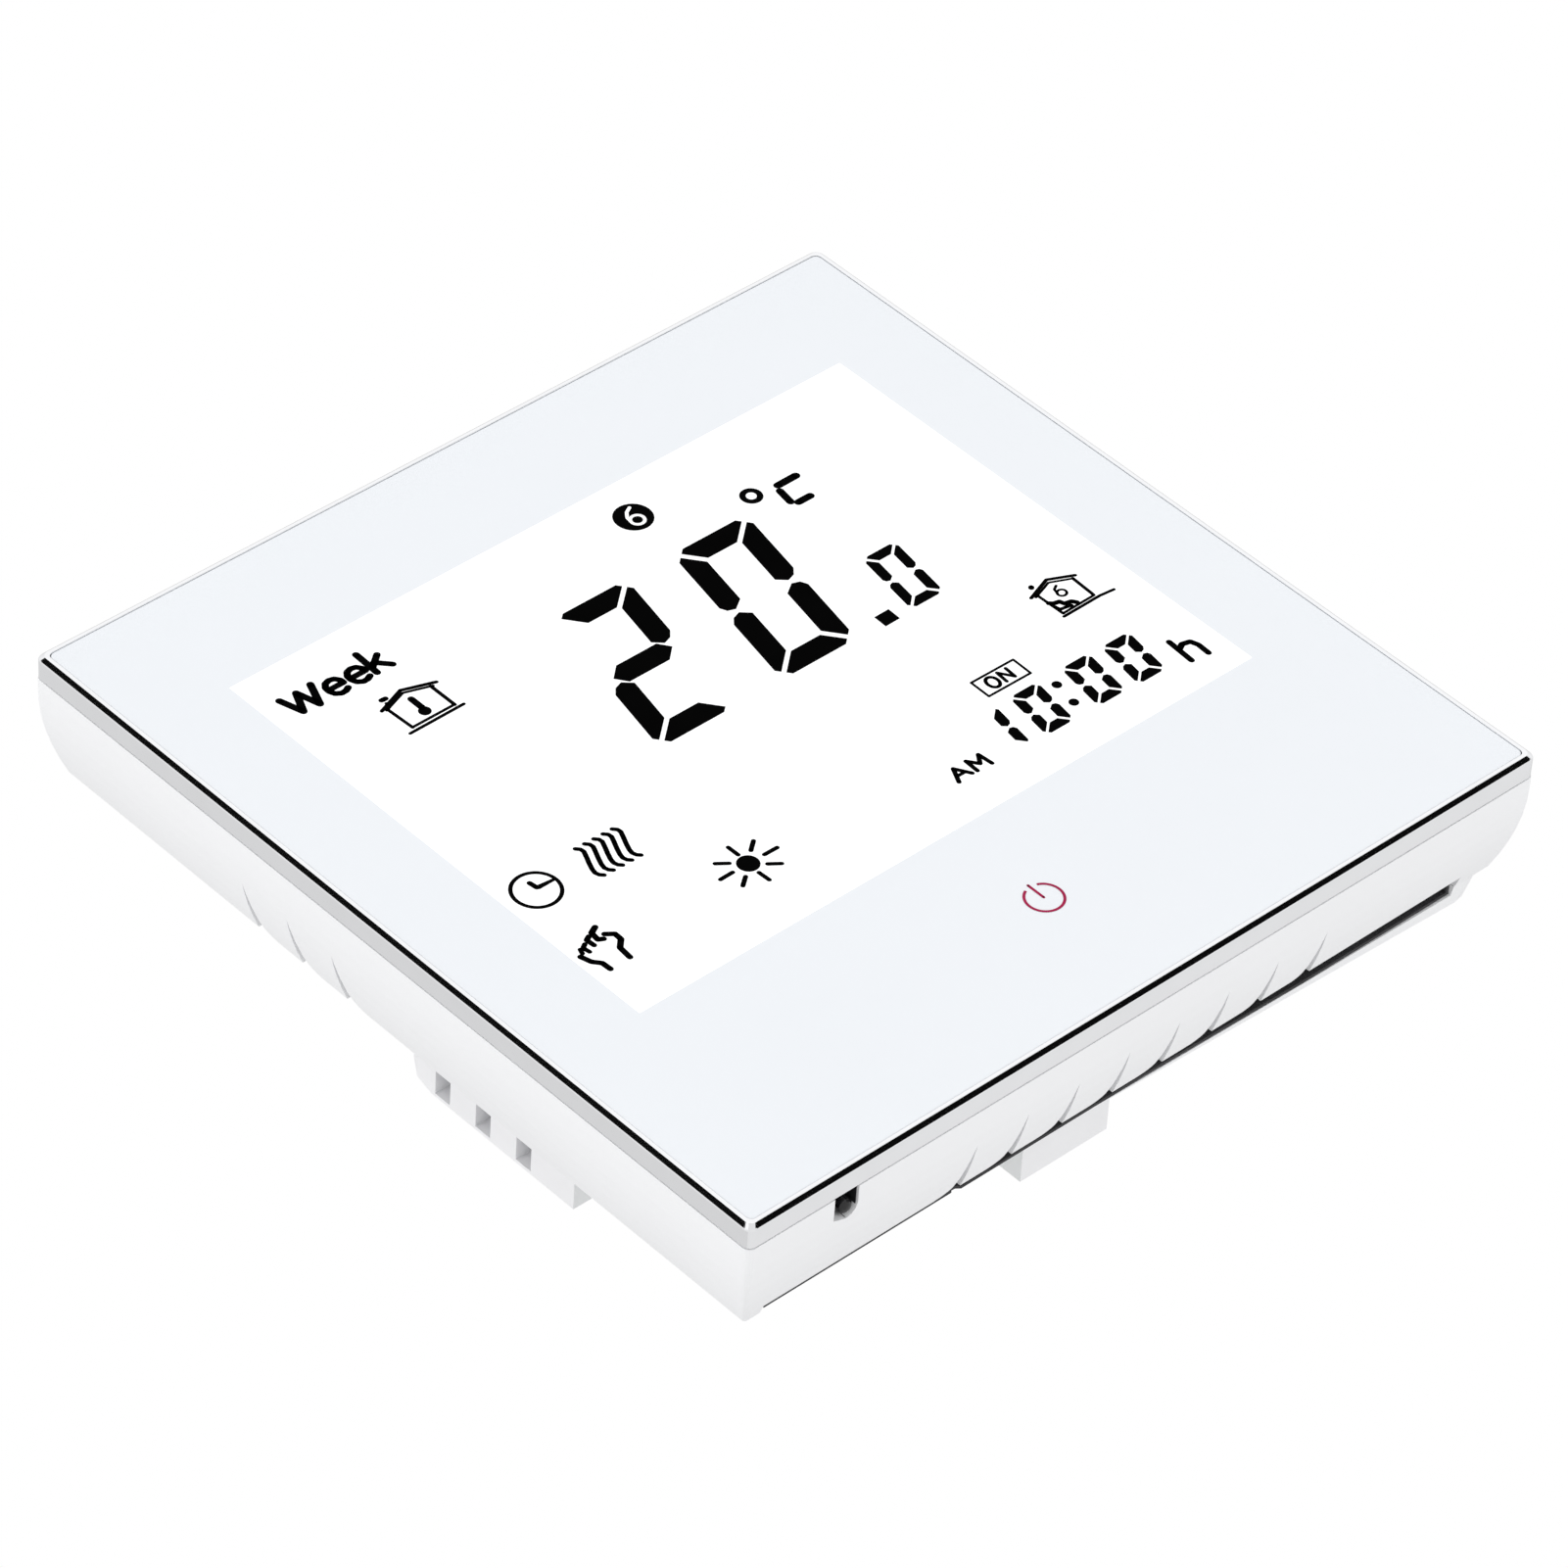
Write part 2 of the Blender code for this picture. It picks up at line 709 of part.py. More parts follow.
def make_sensor():
    """Glass-bead thermistor in its window, with two leads to the board."""
    x = SENSOR_WINDOW_LEFT + SENSOR_WINDOW_WIDTH - SENSOR_BEAD_RADIUS - SEAM
    z = -HALF + SENSOR_BEAD_RADIUS + SEAM
    y = depth(SENSOR_BEAD_DEPTH)
    mesh = bmesh.new()
    bmesh.ops.create_uvsphere(mesh, u_segments=14, v_segments=9, radius=SENSOR_BEAD_RADIUS)
    mesh.transform(Matrix.Translation((x, y, z)))
    add_object("sensor_bead", mesh, black_plastic())
    for side, offset in (("left", -0.4), ("right", 0.4)):
        top = z + SENSOR_BEAD_RADIUS + SEAM
        route = [
            (x + offset, y + 0.35, top),
            (x + offset, y + 0.6, top + 0.3),
            (x + offset, y + 1.6, top + 1.1),
            (x + offset, depth(BOARD_FRONT - 1.0), top + 2.1),
            (x + offset, depth(BOARD_FRONT - SEAM), top + 2.2),
        ]
        wire(f"sensor_lead_{side}", route, SENSOR_LEAD_RADIUS, zinc_steel())


# ------------------------------------------------------------ display board


def header_size():
    width = PIN_COUNT * PIN_PITCH
    height = PIN_ROWS * PIN_PITCH
    return width, height


def pin_places():
    places = []
    for column in range(PIN_COUNT):
        for row in range(PIN_ROWS):
            x = HEADER_X + (column - (PIN_COUNT - 1) / 2) * PIN_PITCH
            z = HEADER_Z + (row - (PIN_ROWS - 1) / 2) * PIN_PITCH
            places.append((x, z))
    return places


def square_bars(size, front, rear):
    half = size / 2
    bars = [block((x - half, front, z - half), (x + half, rear, z + half)) for x, z in pin_places()]
    return together(*bars)


def socket_front():
    return depth(BOARD_REAR + SEAM + HEADER_HEIGHT + FIT)


def make_display_board():
    half = HALF - side_inset(BOARD_REAR) - SHELL_WALL - BOARD_MARGIN
    outline = rounded_rectangle(-half, half, -half, half, 1.5)
    board = add_object(
        "display_board", prism(outline, depth(BOARD_FRONT), depth(BOARD_REAR)), board_green()
    )
    holes = []
    for x in (-BOSS_X, BOSS_X):
        for z in (BOSS_BOTTOM, BOSS_TOP):
            holes.append(
                disc(x, z, BOARD_SCREW_RADIUS + SEAM, depth(BOARD_FRONT) - 1, depth(BOARD_REAR) + 1, 12)
            )
    cut(board, together(*holes), "screw_holes")

    rear = depth(BOARD_REAR + SEAM)
    chip = block((8, rear, -22), (8 + CHIP_SIZE, rear + CHIP_HEIGHT, -22 + CHIP_SIZE))
    add_object("microcontroller", chip, black_plastic())
    battery = turned(
        -18,
        -10,
        [(BATTERY_RADIUS - 0.4, rear), (BATTERY_RADIUS, rear + 0.4), (BATTERY_RADIUS, rear + BATTERY_HEIGHT)],
        28,
    )
    add_object("clock_battery", battery, zinc_steel())

    width, height = header_size()
    body = block(
        (HEADER_X - width / 2, rear, HEADER_Z - height / 2),
        (HEADER_X + width / 2, rear + HEADER_HEIGHT, HEADER_Z + height / 2),
    )
    header = add_object("board_header", body, black_plastic())
    join(header, square_bars(PIN_SIZE, rear + 0.5, socket_front() + PIN_REACH), "pins")

    spring_points = []
    steps = SPRING_TURNS * 12
    front = depth(FLANGE_REAR + SEAM + SPRING_WIRE)
    back = depth(BOARD_FRONT - SEAM - SPRING_WIRE)
    for step in range(steps + 1):
        share = step / steps
        angle = 2 * math.pi * SPRING_TURNS * share
        spring_points.append(
            (
                SPRING_RADIUS * math.cos(angle),
                front + (back - front) * share,
                POWER_KEY_Z + SPRING_RADIUS * math.sin(angle),
            )
        )
    wire("power_key_spring", spring_points, SPRING_WIRE, zinc_steel())

    for side, x in (("left", -BOSS_X), ("right", BOSS_X)):
        for level, z in (("bottom", BOSS_BOTTOM), ("top", BOSS_TOP)):
            shoulder = depth(BOARD_REAR + SEAM)
            levels = (shoulder + BOARD_SCREW_HEAD_HEIGHT, shoulder, depth(FLANGE_REAR + 1.2))
            slotted_screw(
                f"board_screw_{level}_{side}",
                (x, z),
                levels,
                (BOARD_SCREW_HEAD, BOARD_SCREW_RADIUS),
                zinc_steel(),
                0.5,
                0.5,
            )


# ---------------------------------------------------------------- rear base


def base_outline(at):
    """The base's outline at a depth: its lower right corner follows the shell."""
    share = (at - BASE_FRONT) / BASE_RIM
    shell = side_inset(BASE_FRONT)
    main = shell + BASE_FRONT_INSET + (BASE_REAR_INSET - shell - BASE_FRONT_INSET) * share
    corner = shell + (BASE_CORNER_INSET - shell) * share
    inner = HALF - main
    outer = HALF - corner
    corners = [(-inner, -inner), (outer, -outer), (inner, inner), (-inner, inner)]
    return fillet_outline(corners, BASE_CORNER)


def box_screw_places():
    return [(-BOX_SCREW_X, BOX_SCREW_Z), (BOX_SCREW_X, BOX_SCREW_Z)]


def make_base():
    """White tray that stays on the wall and carries the front unit."""
    stations = [BASE_FRONT, (BASE_FRONT + BASE_REAR) / 2, BASE_REAR]
    rings = [ring_at(base_outline(at), depth(at)) for at in stations]
    base = add_object("rear_base", loft(rings), white_plastic())

    well_half = HALF - BASE_REAR_INSET - SHELL_WALL + FIT
    well = rounded_rectangle(-well_half, well_half, -well_half, well_half, 1.5)
    cut(base, prism(well, depth(BASE_FRONT - 1), depth(FLOOR_FRONT)), "well")
    recess_half = PLATE_HALF + FIT
    recess = rounded_rectangle(-recess_half, recess_half, -recess_half, recess_half, PLATE_CORNER)
    cut(base, prism(recess, depth(FLOOR_REAR), depth(BASE_REAR + 1)), "plate_recess")

    rim_low = -HALF - 1
    rim_high = -well_half + 1.3
    taper = [
        (SLOT_LEFT, depth(BASE_FRONT - 1)),
        (SLOT_RIGHT, depth(BASE_FRONT - 1)),
        (SLOT_RIGHT, depth(BASE_FRONT + SLOT_CUT_RIGHT)),
        (SLOT_TAPER_END, depth(BASE_FRONT + SLOT_CUT_RIGHT)),
        (SLOT_TAPER_START, depth(BASE_FRONT + SLOT_CUT_LEFT)),
        (SLOT_LEFT, depth(BASE_FRONT + SLOT_CUT_LEFT)),
    ]
    cut(base, prism_up(taper, rim_low, rim_high), "slot_taper")

    front, rear = depth(FLOOR_FRONT) - 1, depth(FLOOR_REAR) + 1
    access = [disc(x, 0, SCREW_ACCESS_RADIUS, front, rear) for x in (-SCREW_PITCH / 2, SCREW_PITCH / 2)]
    for x, z in box_screw_places():
        access.append(disc(x, z, BOARD_SCREW_HEAD + FIT, front, rear, 16))
    cut(base, together(*access, connector_gap(front, rear)), "windows")


def connector_gap(front, rear):
    """Passage for the socket through the base, the sheet and the plate."""
    width, height = header_size()
    half_width = width / 2 + 0.6 + FIT
    half_height = height / 2 + 0.6 + FIT
    return block(
        (HEADER_X - half_width, front, HEADER_Z - half_height),
        (HEADER_X + half_width, rear, HEADER_Z + half_height),
    )


def make_insulating_sheet():
    half = HALF - BASE_REAR_INSET - SHELL_WALL
    front, rear = depth(SHEET_FRONT), depth(SHEET_REAR)
    outline = rounded_rectangle(-half, half, -half, half, 1.5)
    sheet = add_object("insulating_sheet", prism(outline, front, rear), rubber())
    holes = [
        disc(x, 0, SCREW_ACCESS_RADIUS, front - 1, rear + 1) for x in (-SCREW_PITCH / 2, SCREW_PITCH / 2)
    ]
    cut(sheet, together(*holes, connector_gap(front - 1, rear + 1)), "windows")


def make_bottom_seal():
    """Dark strip in the joint along the bottom, and the liner of the slot."""
    outer = -HALF + side_inset(SEAL_EDGE + SEAL_HEIGHT) + SEAM
    inner = -HALF + side_inset(BASE_FRONT) + SHELL_WALL
    left = -HALF + side_inset(SHELL_REAR) + SHELL_WALL + FIT
    front = SEAL_EDGE + SEAM
    section = [
        (depth(front), outer),
        (depth(front + SEAL_HEIGHT), outer),
        (depth(BASE_FRONT - SEAM), outer + 0.9),
        (depth(BASE_FRONT - SEAM), inner),
        (depth(front), inner),
    ]
    seal = add_object("bottom_seal", prism_across(section, left, SLOT_LEFT + 0.3), rubber())
    step = SLOT_LEFT + 1.0
    right = SLOT_RIGHT - SEAM
    top = BASE_FRONT - SEAM
    left_level = BASE_FRONT + SLOT_CUT_LEFT - SEAM
    right_level = BASE_FRONT + SLOT_CUT_RIGHT - SEAM
    liner = [
        (SLOT_LEFT - 0.3, depth(top - SHEET_THICKNESS)),
        (step, depth(top - SHEET_THICKNESS)),
        (step + 1.0, depth(left_level - SHEET_THICKNESS)),
        (SLOT_TAPER_START, depth(left_level - SHEET_THICKNESS)),
        (SLOT_TAPER_END, depth(right_level - SHEET_THICKNESS)),
        (right - SHEET_THICKNESS, depth(right_level - SHEET_THICKNESS)),
        (right - SHEET_THICKNESS, depth(BOTTOM_EDGE_RIGHT + FIT)),
        (right, depth(BOTTOM_EDGE_RIGHT + SEAM)),
        (right, depth(right_level)),
        (SLOT_TAPER_END + SEAM, depth(right_level)),
        (SLOT_TAPER_START + SEAM, depth(left_level)),
        (step + 1.0, depth(left_level)),
        (step, depth(top)),
        (SLOT_LEFT - 0.3, depth(top)),
    ]
    join(seal, prism_up(liner, outer + 0.6, inner + 1.2), "slot_liner")


def make_plate():
    """Zinc-plated plate that two screws hold to the wall box."""
    outline = rounded_rectangle(-PLATE_HALF, PLATE_HALF, -PLATE_HALF, PLATE_HALF, PLATE_CORNER)
    plate = add_object("mounting_plate", prism(outline, depth(PLATE_FRONT), 0.0), zinc_steel())
    front, rear = depth(PLATE_FRONT) - 1, 1.0
    reach = (SCREW_SLOT_LENGTH - SCREW_SLOT_WIDTH) / 2
    slots = []
    for x in (-SCREW_PITCH / 2, SCREW_PITCH / 2):
        half = SCREW_SLOT_WIDTH / 2
        ends = (-reach - half, reach + half)
        shape = rounded_rectangle(x - half, x + half, ends[0], ends[1], half - 0.01)
        slots.append(prism(shape, front, rear))
    holes = [disc(x, z, BOARD_SCREW_RADIUS + 0.5, front, rear, 14) for x, z in box_screw_places()]
    cut(plate, together(*slots, *holes, connector_gap(front, rear)), "openings")


# ---------------------------------------------------------------- power box


def make_power_box():
    """White box with a deep tower, a lower terminal deck and a narrow column."""
    front = SEAM
    tower = rounded_rectangle(
        -TOWER_HALF_WIDTH, TOWER_HALF_WIDTH, TOWER_BOTTOM, TOWER_TOP, TOWER_CORNER
    )
    upper_arcs = [point for point in tower if point[1] > TOWER_BOTTOM + TOWER_CORNER + 0.01]
    outline = [(-TOWER_HALF_WIDTH, TOWER_BOTTOM), (TOWER_HALF_WIDTH, TOWER_BOTTOM)] + upper_arcs
    box = add_object("power_box", prism(outline, front, BOX_DEPTH), white_plastic())
    column = block((COLUMN_LEFT, front, COLUMN_BOTTOM), (COLUMN_RIGHT, BOX_DEPTH, TOWER_BOTTOM + 2))
    join(box, column, "column")
    deck = rounded_rectangle(
        -DECK_HALF_WIDTH, DECK_HALF_WIDTH, DECK_BOTTOM, TOWER_BOTTOM + 3, 1.2
    )
    join(box, prism(deck, front, DECK_DEPTH), "deck")

    wall = BOX_WALL
    tower_hollow = rounded_rectangle(
        -TOWER_HALF_WIDTH + wall,
        TOWER_HALF_WIDTH - wall,
        TOWER_BOTTOM + wall,
        TOWER_TOP - wall,
        TOWER_CORNER - wall,
    )
    cut(box, prism(tower_hollow, front - 1, BOX_DEPTH - wall), "tower_hollow")
    column_hollow = block(
        (COLUMN_LEFT + wall, front - 1, COLUMN_BOTTOM + wall),
        (COLUMN_RIGHT - wall, BOX_DEPTH - wall, TOWER_BOTTOM + 2 * wall),
    )
    cut(box, column_hollow, "column_hollow")
    deck_hollow = rounded_rectangle(
        -DECK_HALF_WIDTH + wall, DECK_HALF_WIDTH - wall, DECK_BOTTOM + wall, TOWER_BOTTOM + 2 * wall, 0.6
    )
    cut(box, prism(deck_hollow, front - 1, DECK_DEPTH - wall), "deck_hollow")
    cut(box, together(*terminal_windows()), "terminal_windows")
    cut(box, together(*box_vents()), "vents")
    posts = []
    bores = []
    for x, z in box_screw_places():
        posts.append(disc(x, z, BOX_POST_RADIUS, front, BOX_DEPTH - wall + 0.5, 14))
        bores.append(disc(x, z, BOARD_SCREW_RADIUS + SEAM, front - 1, front + 6, 12))
    join(box, together(*posts), "posts")
    cut(box, together(*bores), "post_bores")


def terminal_windows():
    windows = []
    for left, ways, pitch in ((MAINS_LEFT, MAINS_WAYS, MAINS_PITCH), (SENSOR_LEFT, SENSOR_WAYS, SENSOR_PITCH)):
        width = ways * pitch
        windows.append(
            block(
                (left - FIT, DECK_DEPTH - BOX_WALL - 1, TERMINAL_BOTTOM - FIT),
                (left + width + FIT, DECK_DEPTH + 1, TERMINAL_BOTTOM + TERMINAL_DEPTH + FIT),
            )
        )
    return windows


def box_vents():
    vents = []
    for side in (-1, 1):
        for index in range(BOX_VENTS):
            z = BOX_VENT_FIRST - index * BOX_VENT_PITCH
            inner = side * (TOWER_HALF_WIDTH - BOX_VENT_REACH)
            outer = side * (TOWER_HALF_WIDTH + 1)
            low = (min(inner, outer), BOX_DEPTH - BOX_VENT_DEPTH, z - BOX_VENT_WIDTH / 2)
            high = (max(inner, outer), BOX_DEPTH - BOX_VENT_SILL, z + BOX_VENT_WIDTH / 2)
            vents.append(block(low, high))
    return vents


def make_power_board():
    half = DECK_HALF_WIDTH - BOX_WALL - FIT
    bottom = DECK_BOTTOM + BOX_WALL + FIT
    top = TOWER_TOP - BOX_WALL - FIT
    outline = [
        (-half, bottom),
        (half, bottom),
        (half, top - POWER_BOARD_CHAMFER),
        (half - POWER_BOARD_CHAMFER, top),
        (-half + POWER_BOARD_CHAMFER, top),
        (-half, top - POWER_BOARD_CHAMFER),
    ]
    add_object("power_board", prism(outline, POWER_BOARD_FRONT, POWER_BOARD_REAR), board_green())
    width, height = header_size()
    front = socket_front()
    body = block(
        (HEADER_X - width / 2 - 0.6, front, HEADER_Z - height / 2 - 0.6),
        (HEADER_X + width / 2 + 0.6, POWER_BOARD_FRONT - SEAM, HEADER_Z + height / 2 + 0.6),
    )
    socket = add_object("board_socket", body, black_plastic())
    cut(socket, square_bars(PIN_HOLE, front - 1, front + PIN_REACH + 0.6), "pin_holes")


# ---------------------------------------------------------------- terminals


def make_terminals(kind, left, ways, pitch):
    """A rising-clamp terminal block with one screw and one clamp for each way."""
    width = ways * pitch
    low = TERMINAL_BOTTOM
    high = low + TERMINAL_DEPTH
    front = PARTS_LEVEL
    rear = front + TERMINAL_HEIGHT
    chamber = pitch * (1 - TERMINAL_RIB_SHARE)
    clamp = chamber - 2 * CLAMP_PLAY
    wire_gap = clamp - 2 * CLAMP_WALL
    chamber_front = front + 1.1
    clamp_front = chamber_front + CLAMP_PLAY
    chamber_rear = clamp_front + CLAMP_HEIGHT + CLAMP_TRAVEL + CLAMP_PLAY
    clamp_low = low + 1.4
    clamp_high = clamp_low + 5.4
    screw_radius = clamp / 2 - CLAMP_WALL - 0.35
    head_radius = chamber / 2 - 0.35
    block_body = block((left, front, low), (left + width, rear, high))
    body = add_object(f"{kind}_terminal_block", block_body, terminal_plastic())
    chambers = []
    entries = []
    wells = []
    for way in range(ways):
        x = left + (way + 0.5) * pitch
        z = (clamp_low + clamp_high) / 2
        chambers.append(
            block(
                (x - chamber / 2, chamber_front, clamp_low - CLAMP_PLAY),
                (x + chamber / 2, chamber_rear, clamp_high + CLAMP_PLAY),
            )
        )
        entry_front = clamp_front + CLAMP_WALL
        entries.append(
            block(
                (x - wire_gap / 2, entry_front, low - 1),
                (x + wire_gap / 2, entry_front + 3.3, clamp_low),
            )
        )
        head_rear = rear - FIT
        shoulder = head_rear - TERMINAL_SCREW_HEAD_HEIGHT
        well_profile = [
            (screw_radius + 0.15, chamber_rear - 0.5),
            (screw_radius + 0.15, shoulder - SEAM),
            (head_radius + 0.15, shoulder - SEAM),
            (head_radius + 0.15, rear + 1),
        ]
        wells.append(turned(x, z, well_profile, 18))
        tip = clamp_front + CLAMP_HEIGHT - 1.2
        slotted_screw(
            f"{kind}_screw_{way + 1}",
            (x, z),
            (head_rear, shoulder, tip),
            (head_radius, screw_radius),
            zinc_steel(),
            0.6,
            0.7,
        )
        cage = add_object(
            f"{kind}_clamp_{way + 1}",
            block(
                (x - clamp / 2, clamp_front, clamp_low),
                (x + clamp / 2, clamp_front + CLAMP_HEIGHT, clamp_high),
            ),
            brass(),
            (x, clamp_front, z),
        )
        passage = block(
            (x - wire_gap / 2, entry_front, clamp_low - 1),
            (x + wire_gap / 2, clamp_front + CLAMP_HEIGHT - 1.2, clamp_high + 1),
        )
        cut(cage, passage, "passage")
        bore = disc(x, z, screw_radius + 0.1, clamp_front + 2, clamp_front + CLAMP_HEIGHT + 1, 14)
        cut(cage, bore, "bore")
    cut(body, together(*chambers), "chambers")
    cut(body, together(*entries), "entries")
    cut(body, together(*wells), "wells")


# -------------------------------------------------------- relay and the rest


def make_relay():
    """Relay on the power board: base, yoke, coil, armature and cover."""
    left = RELAY_LEFT
    right = left + RELAY_WIDTH
    low = RELAY_BOTTOM
    high = low + RELAY_DEPTH
    front = PARTS_LEVEL
    rear = front + RELAY_HEIGHT
    skirt = RELAY_WALL + FIT
    foot = block((left + skirt, front, low + skirt), (right - skirt, front + 1.6, high - skirt))
    add_object("relay_base", foot, black_plastic())

    cover_outer = block((left, front + 0.2, low), (right, rear, high))
    cover = add_object("relay_cover", cover_outer, blue_coating())
    hollow = block(
        (left + RELAY_WALL, front - 1, low + RELAY_WALL),
        (right - RELAY_WALL, rear - RELAY_WALL, high - RELAY_WALL),
    )
    cut(cover, hollow, "hollow")

    coil_x = left + skirt + 2.0 + RELAY_COIL_RADIUS + 0.4
    coil_z = (low + high) / 2
    level = front + 1.6 + SEAM
    yoke_left = left + skirt + 0.5
    yoke_top = rear - RELAY_WALL - 2.2
    yoke_outline = [
        (yoke_left, level),
        (coil_x + 3.0, level),
        (coil_x + 3.0, level + 1.0),
        (yoke_left + 1.2, level + 1.0),
        (yoke_left + 1.2, yoke_top),
        (yoke_left, yoke_top),
    ]
    add_object("relay_yoke", prism_up(yoke_outline, coil_z - 4.0, coil_z + 4.0), zinc_steel())

    coil_front = level + 1.0 + SEAM
    coil_rear = yoke_top - 0.9
    profile = [
        (RELAY_COIL_RADIUS, coil_front),
        (RELAY_COIL_RADIUS, coil_front + 0.6),
        (RELAY_COIL_RADIUS - 0.7, coil_front + 0.6),
        (RELAY_COIL_RADIUS - 0.7, coil_rear - 0.6),
        (RELAY_COIL_RADIUS, coil_rear - 0.6),
        (RELAY_COIL_RADIUS, coil_rear),
        (2.2, coil_rear),
        (2.2, coil_rear + 0.4),
    ]
    add_object("relay_coil", turned(coil_x, coil_z, profile, 24), copper())

    armature_front = yoke_top + SEAM
    armature = block(
        (yoke_left, armature_front, coil_z - 3.6),
        (coil_x + RELAY_COIL_RADIUS + 0.6, armature_front + 0.8, coil_z + 3.6),
    )
    add_object("relay_armature", armature, zinc_steel(), (yoke_left, armature_front, coil_z))


def make_transformer():
    """Ferrite core with two windows, and the winding round its middle limb."""
    left = TRANSFORMER_LEFT
    width = TRANSFORMER_WIDTH
    low = TRANSFORMER_BOTTOM
    limb = TRANSFORMER_LIMB
    front = PARTS_LEVEL
    rear = front + TRANSFORMER_HEIGHT
    middle = left + width / 2
    core_low = low + TRANSFORMER_DEPTH / 2 - 2.5
    core_high = core_low + 5.0
    core = add_object("transformer_core", block((left, front, core_low), (left + width, rear, core_high)), ferrite())
    windows = []
    for side in (-1, 1):
        edges = sorted((middle + side * limb / 2, middle + side * (width / 2 - limb / 2)))
        windows.append(
            block((edges[0], front + limb / 2, core_low - 1), (edges[1], rear - limb / 2, core_high + 1))
        )
    cut(core, together(*windows), "windows")

    gap = FIT
    outer = rounded_rectangle(
        middle - width / 2 + limb / 2 + gap,
        middle + width / 2 - limb / 2 - gap,
        low,
        low + TRANSFORMER_DEPTH,
        2.0,
    )
    inner = rounded_rectangle(
        middle - limb / 2 - gap, middle + limb / 2 + gap, core_low - gap, core_high + gap, 0.2
    )
    winding = frame_ring(outer, inner, front + limb / 2 + gap, rear - limb / 2 - gap)
    add_object("transformer_winding", winding, material("winding_tape", (0.80, 0.62, 0.10), 0.5))


def make_loose_components():
    """Capacitors, rectifier, fuse and varistor on the power board."""
    front = PARTS_LEVEL
    can = [
        (CAPACITOR_RADIUS - 0.4, front),
        (CAPACITOR_RADIUS, front + 0.4),
        (CAPACITOR_RADIUS, front + CAPACITOR_HEIGHT - 0.4),
        (CAPACITOR_RADIUS - 0.4, front + CAPACITOR_HEIGHT),
    ]
    add_object("bulk_capacitor", turned(16.4, 7.8, can, 20), material("capacitor_sleeve", (0.05, 0.07, 0.12), 0.4))
    film = block((13.0, front, -2.6), (22.4, front + 8.5, 3.2))
    add_object("suppression_capacitor", film, material("capacitor_yellow", (0.75, 0.58, 0.12), 0.45))
    bridge = block((5.2, front, -13.5), (11.2, front + 2.6, -8.2))
    add_object("bridge_rectifier", bridge, black_plastic())
    fuse = turned(4.9 + 3.3, -17.3, [(1.9, front), (1.9, front + 8.0)], 16)
    add_object("fuse", fuse, material("fuse_body", (0.25, 0.10, 0.06), 0.5))
    disc_varistor = block((-1.0, front, 12.0), (6.5, front + 7.0, 14.6))
    add_object("varistor", disc_varistor, blue_coating())


def make_box_screws():
    """Two screws that hold the power box to the plate."""
    for side, place in zip(("left", "right"), box_screw_places()):
        shoulder = depth(PLATE_FRONT) - SEAM
        levels = (shoulder - BOARD_SCREW_HEAD_HEIGHT, shoulder, 5.0)
        radii = (BOARD_SCREW_HEAD, BOARD_SCREW_RADIUS)
        slotted_screw(f"box_screw_{side}", place, levels, radii, zinc_steel(), 0.5, 0.5)


def main():
    for obj in list(bpy.data.objects):
        bpy.data.objects.remove(obj)
    make_trim()
    make_glass()
    make_touch_film()
    make_display()
    make_housing()
    make_sensor()
    make_display_board()
    make_base()
    make_insulating_sheet()
    make_bottom_seal()
    make_plate()
    make_power_box()
    make_box_screws()
    make_power_board()
    make_terminals("mains", MAINS_LEFT, MAINS_WAYS, MAINS_PITCH)
    make_terminals("sensor", SENSOR_LEFT, SENSOR_WAYS, SENSOR_PITCH)
    make_relay()
    make_transformer()
    make_loose_components()


main()
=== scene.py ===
"""Finishes, display graphics and studio for the wall thermostat.

The shared frame has the wall plane at y = 0, the face towards -Y and +Z up, in
metres. Everything drawn on the glass is given in millimetres from its centre.
"""

import math

import bmesh
import bpy
from mathutils import Matrix, Vector


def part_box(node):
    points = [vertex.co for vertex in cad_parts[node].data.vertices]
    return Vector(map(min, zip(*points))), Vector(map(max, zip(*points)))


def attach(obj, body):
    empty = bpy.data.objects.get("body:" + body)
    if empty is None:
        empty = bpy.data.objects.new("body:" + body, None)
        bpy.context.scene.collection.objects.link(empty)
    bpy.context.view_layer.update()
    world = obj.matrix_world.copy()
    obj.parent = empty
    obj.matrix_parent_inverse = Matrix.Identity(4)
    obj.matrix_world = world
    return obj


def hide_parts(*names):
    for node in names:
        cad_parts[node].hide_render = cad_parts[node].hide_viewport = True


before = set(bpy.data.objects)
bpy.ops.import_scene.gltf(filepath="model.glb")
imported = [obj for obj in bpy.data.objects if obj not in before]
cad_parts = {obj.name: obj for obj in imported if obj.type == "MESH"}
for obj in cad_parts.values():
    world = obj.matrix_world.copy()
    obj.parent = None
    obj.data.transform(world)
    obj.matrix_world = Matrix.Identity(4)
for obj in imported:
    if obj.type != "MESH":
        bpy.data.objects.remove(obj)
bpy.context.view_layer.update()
MM = 0.001

# ------------------------------------------------------------------ camera

# From the lower left front, with the camera's own axes in the shared frame
CAMERA_PLACE = (-0.3471, -0.4383, -0.3486)
CAMERA_RIGHT = (0.73700668, -0.04891983, -0.67411275)
CAMERA_UP = (0.41818895, -0.75053994, 0.51167157)
CAMERA_BACK = (-0.53097943, -0.65901187, -0.53269522)
LENS_MM = 184.39
SENSOR_MM = 36.0


def make_camera():
    data = bpy.data.cameras.new("camera")
    data.sensor_width = SENSOR_MM
    data.lens = LENS_MM
    data.clip_start = 0.01
    data.clip_end = 20.0
    camera = bpy.data.objects.new("camera", data)
    turn = Matrix((CAMERA_RIGHT, CAMERA_UP, CAMERA_BACK)).transposed().to_4x4()
    camera.matrix_world = Matrix.Translation(CAMERA_PLACE) @ turn
    bpy.context.scene.collection.objects.link(camera)
    bpy.context.scene.camera = camera


# --------------------------------------------------------------- materials


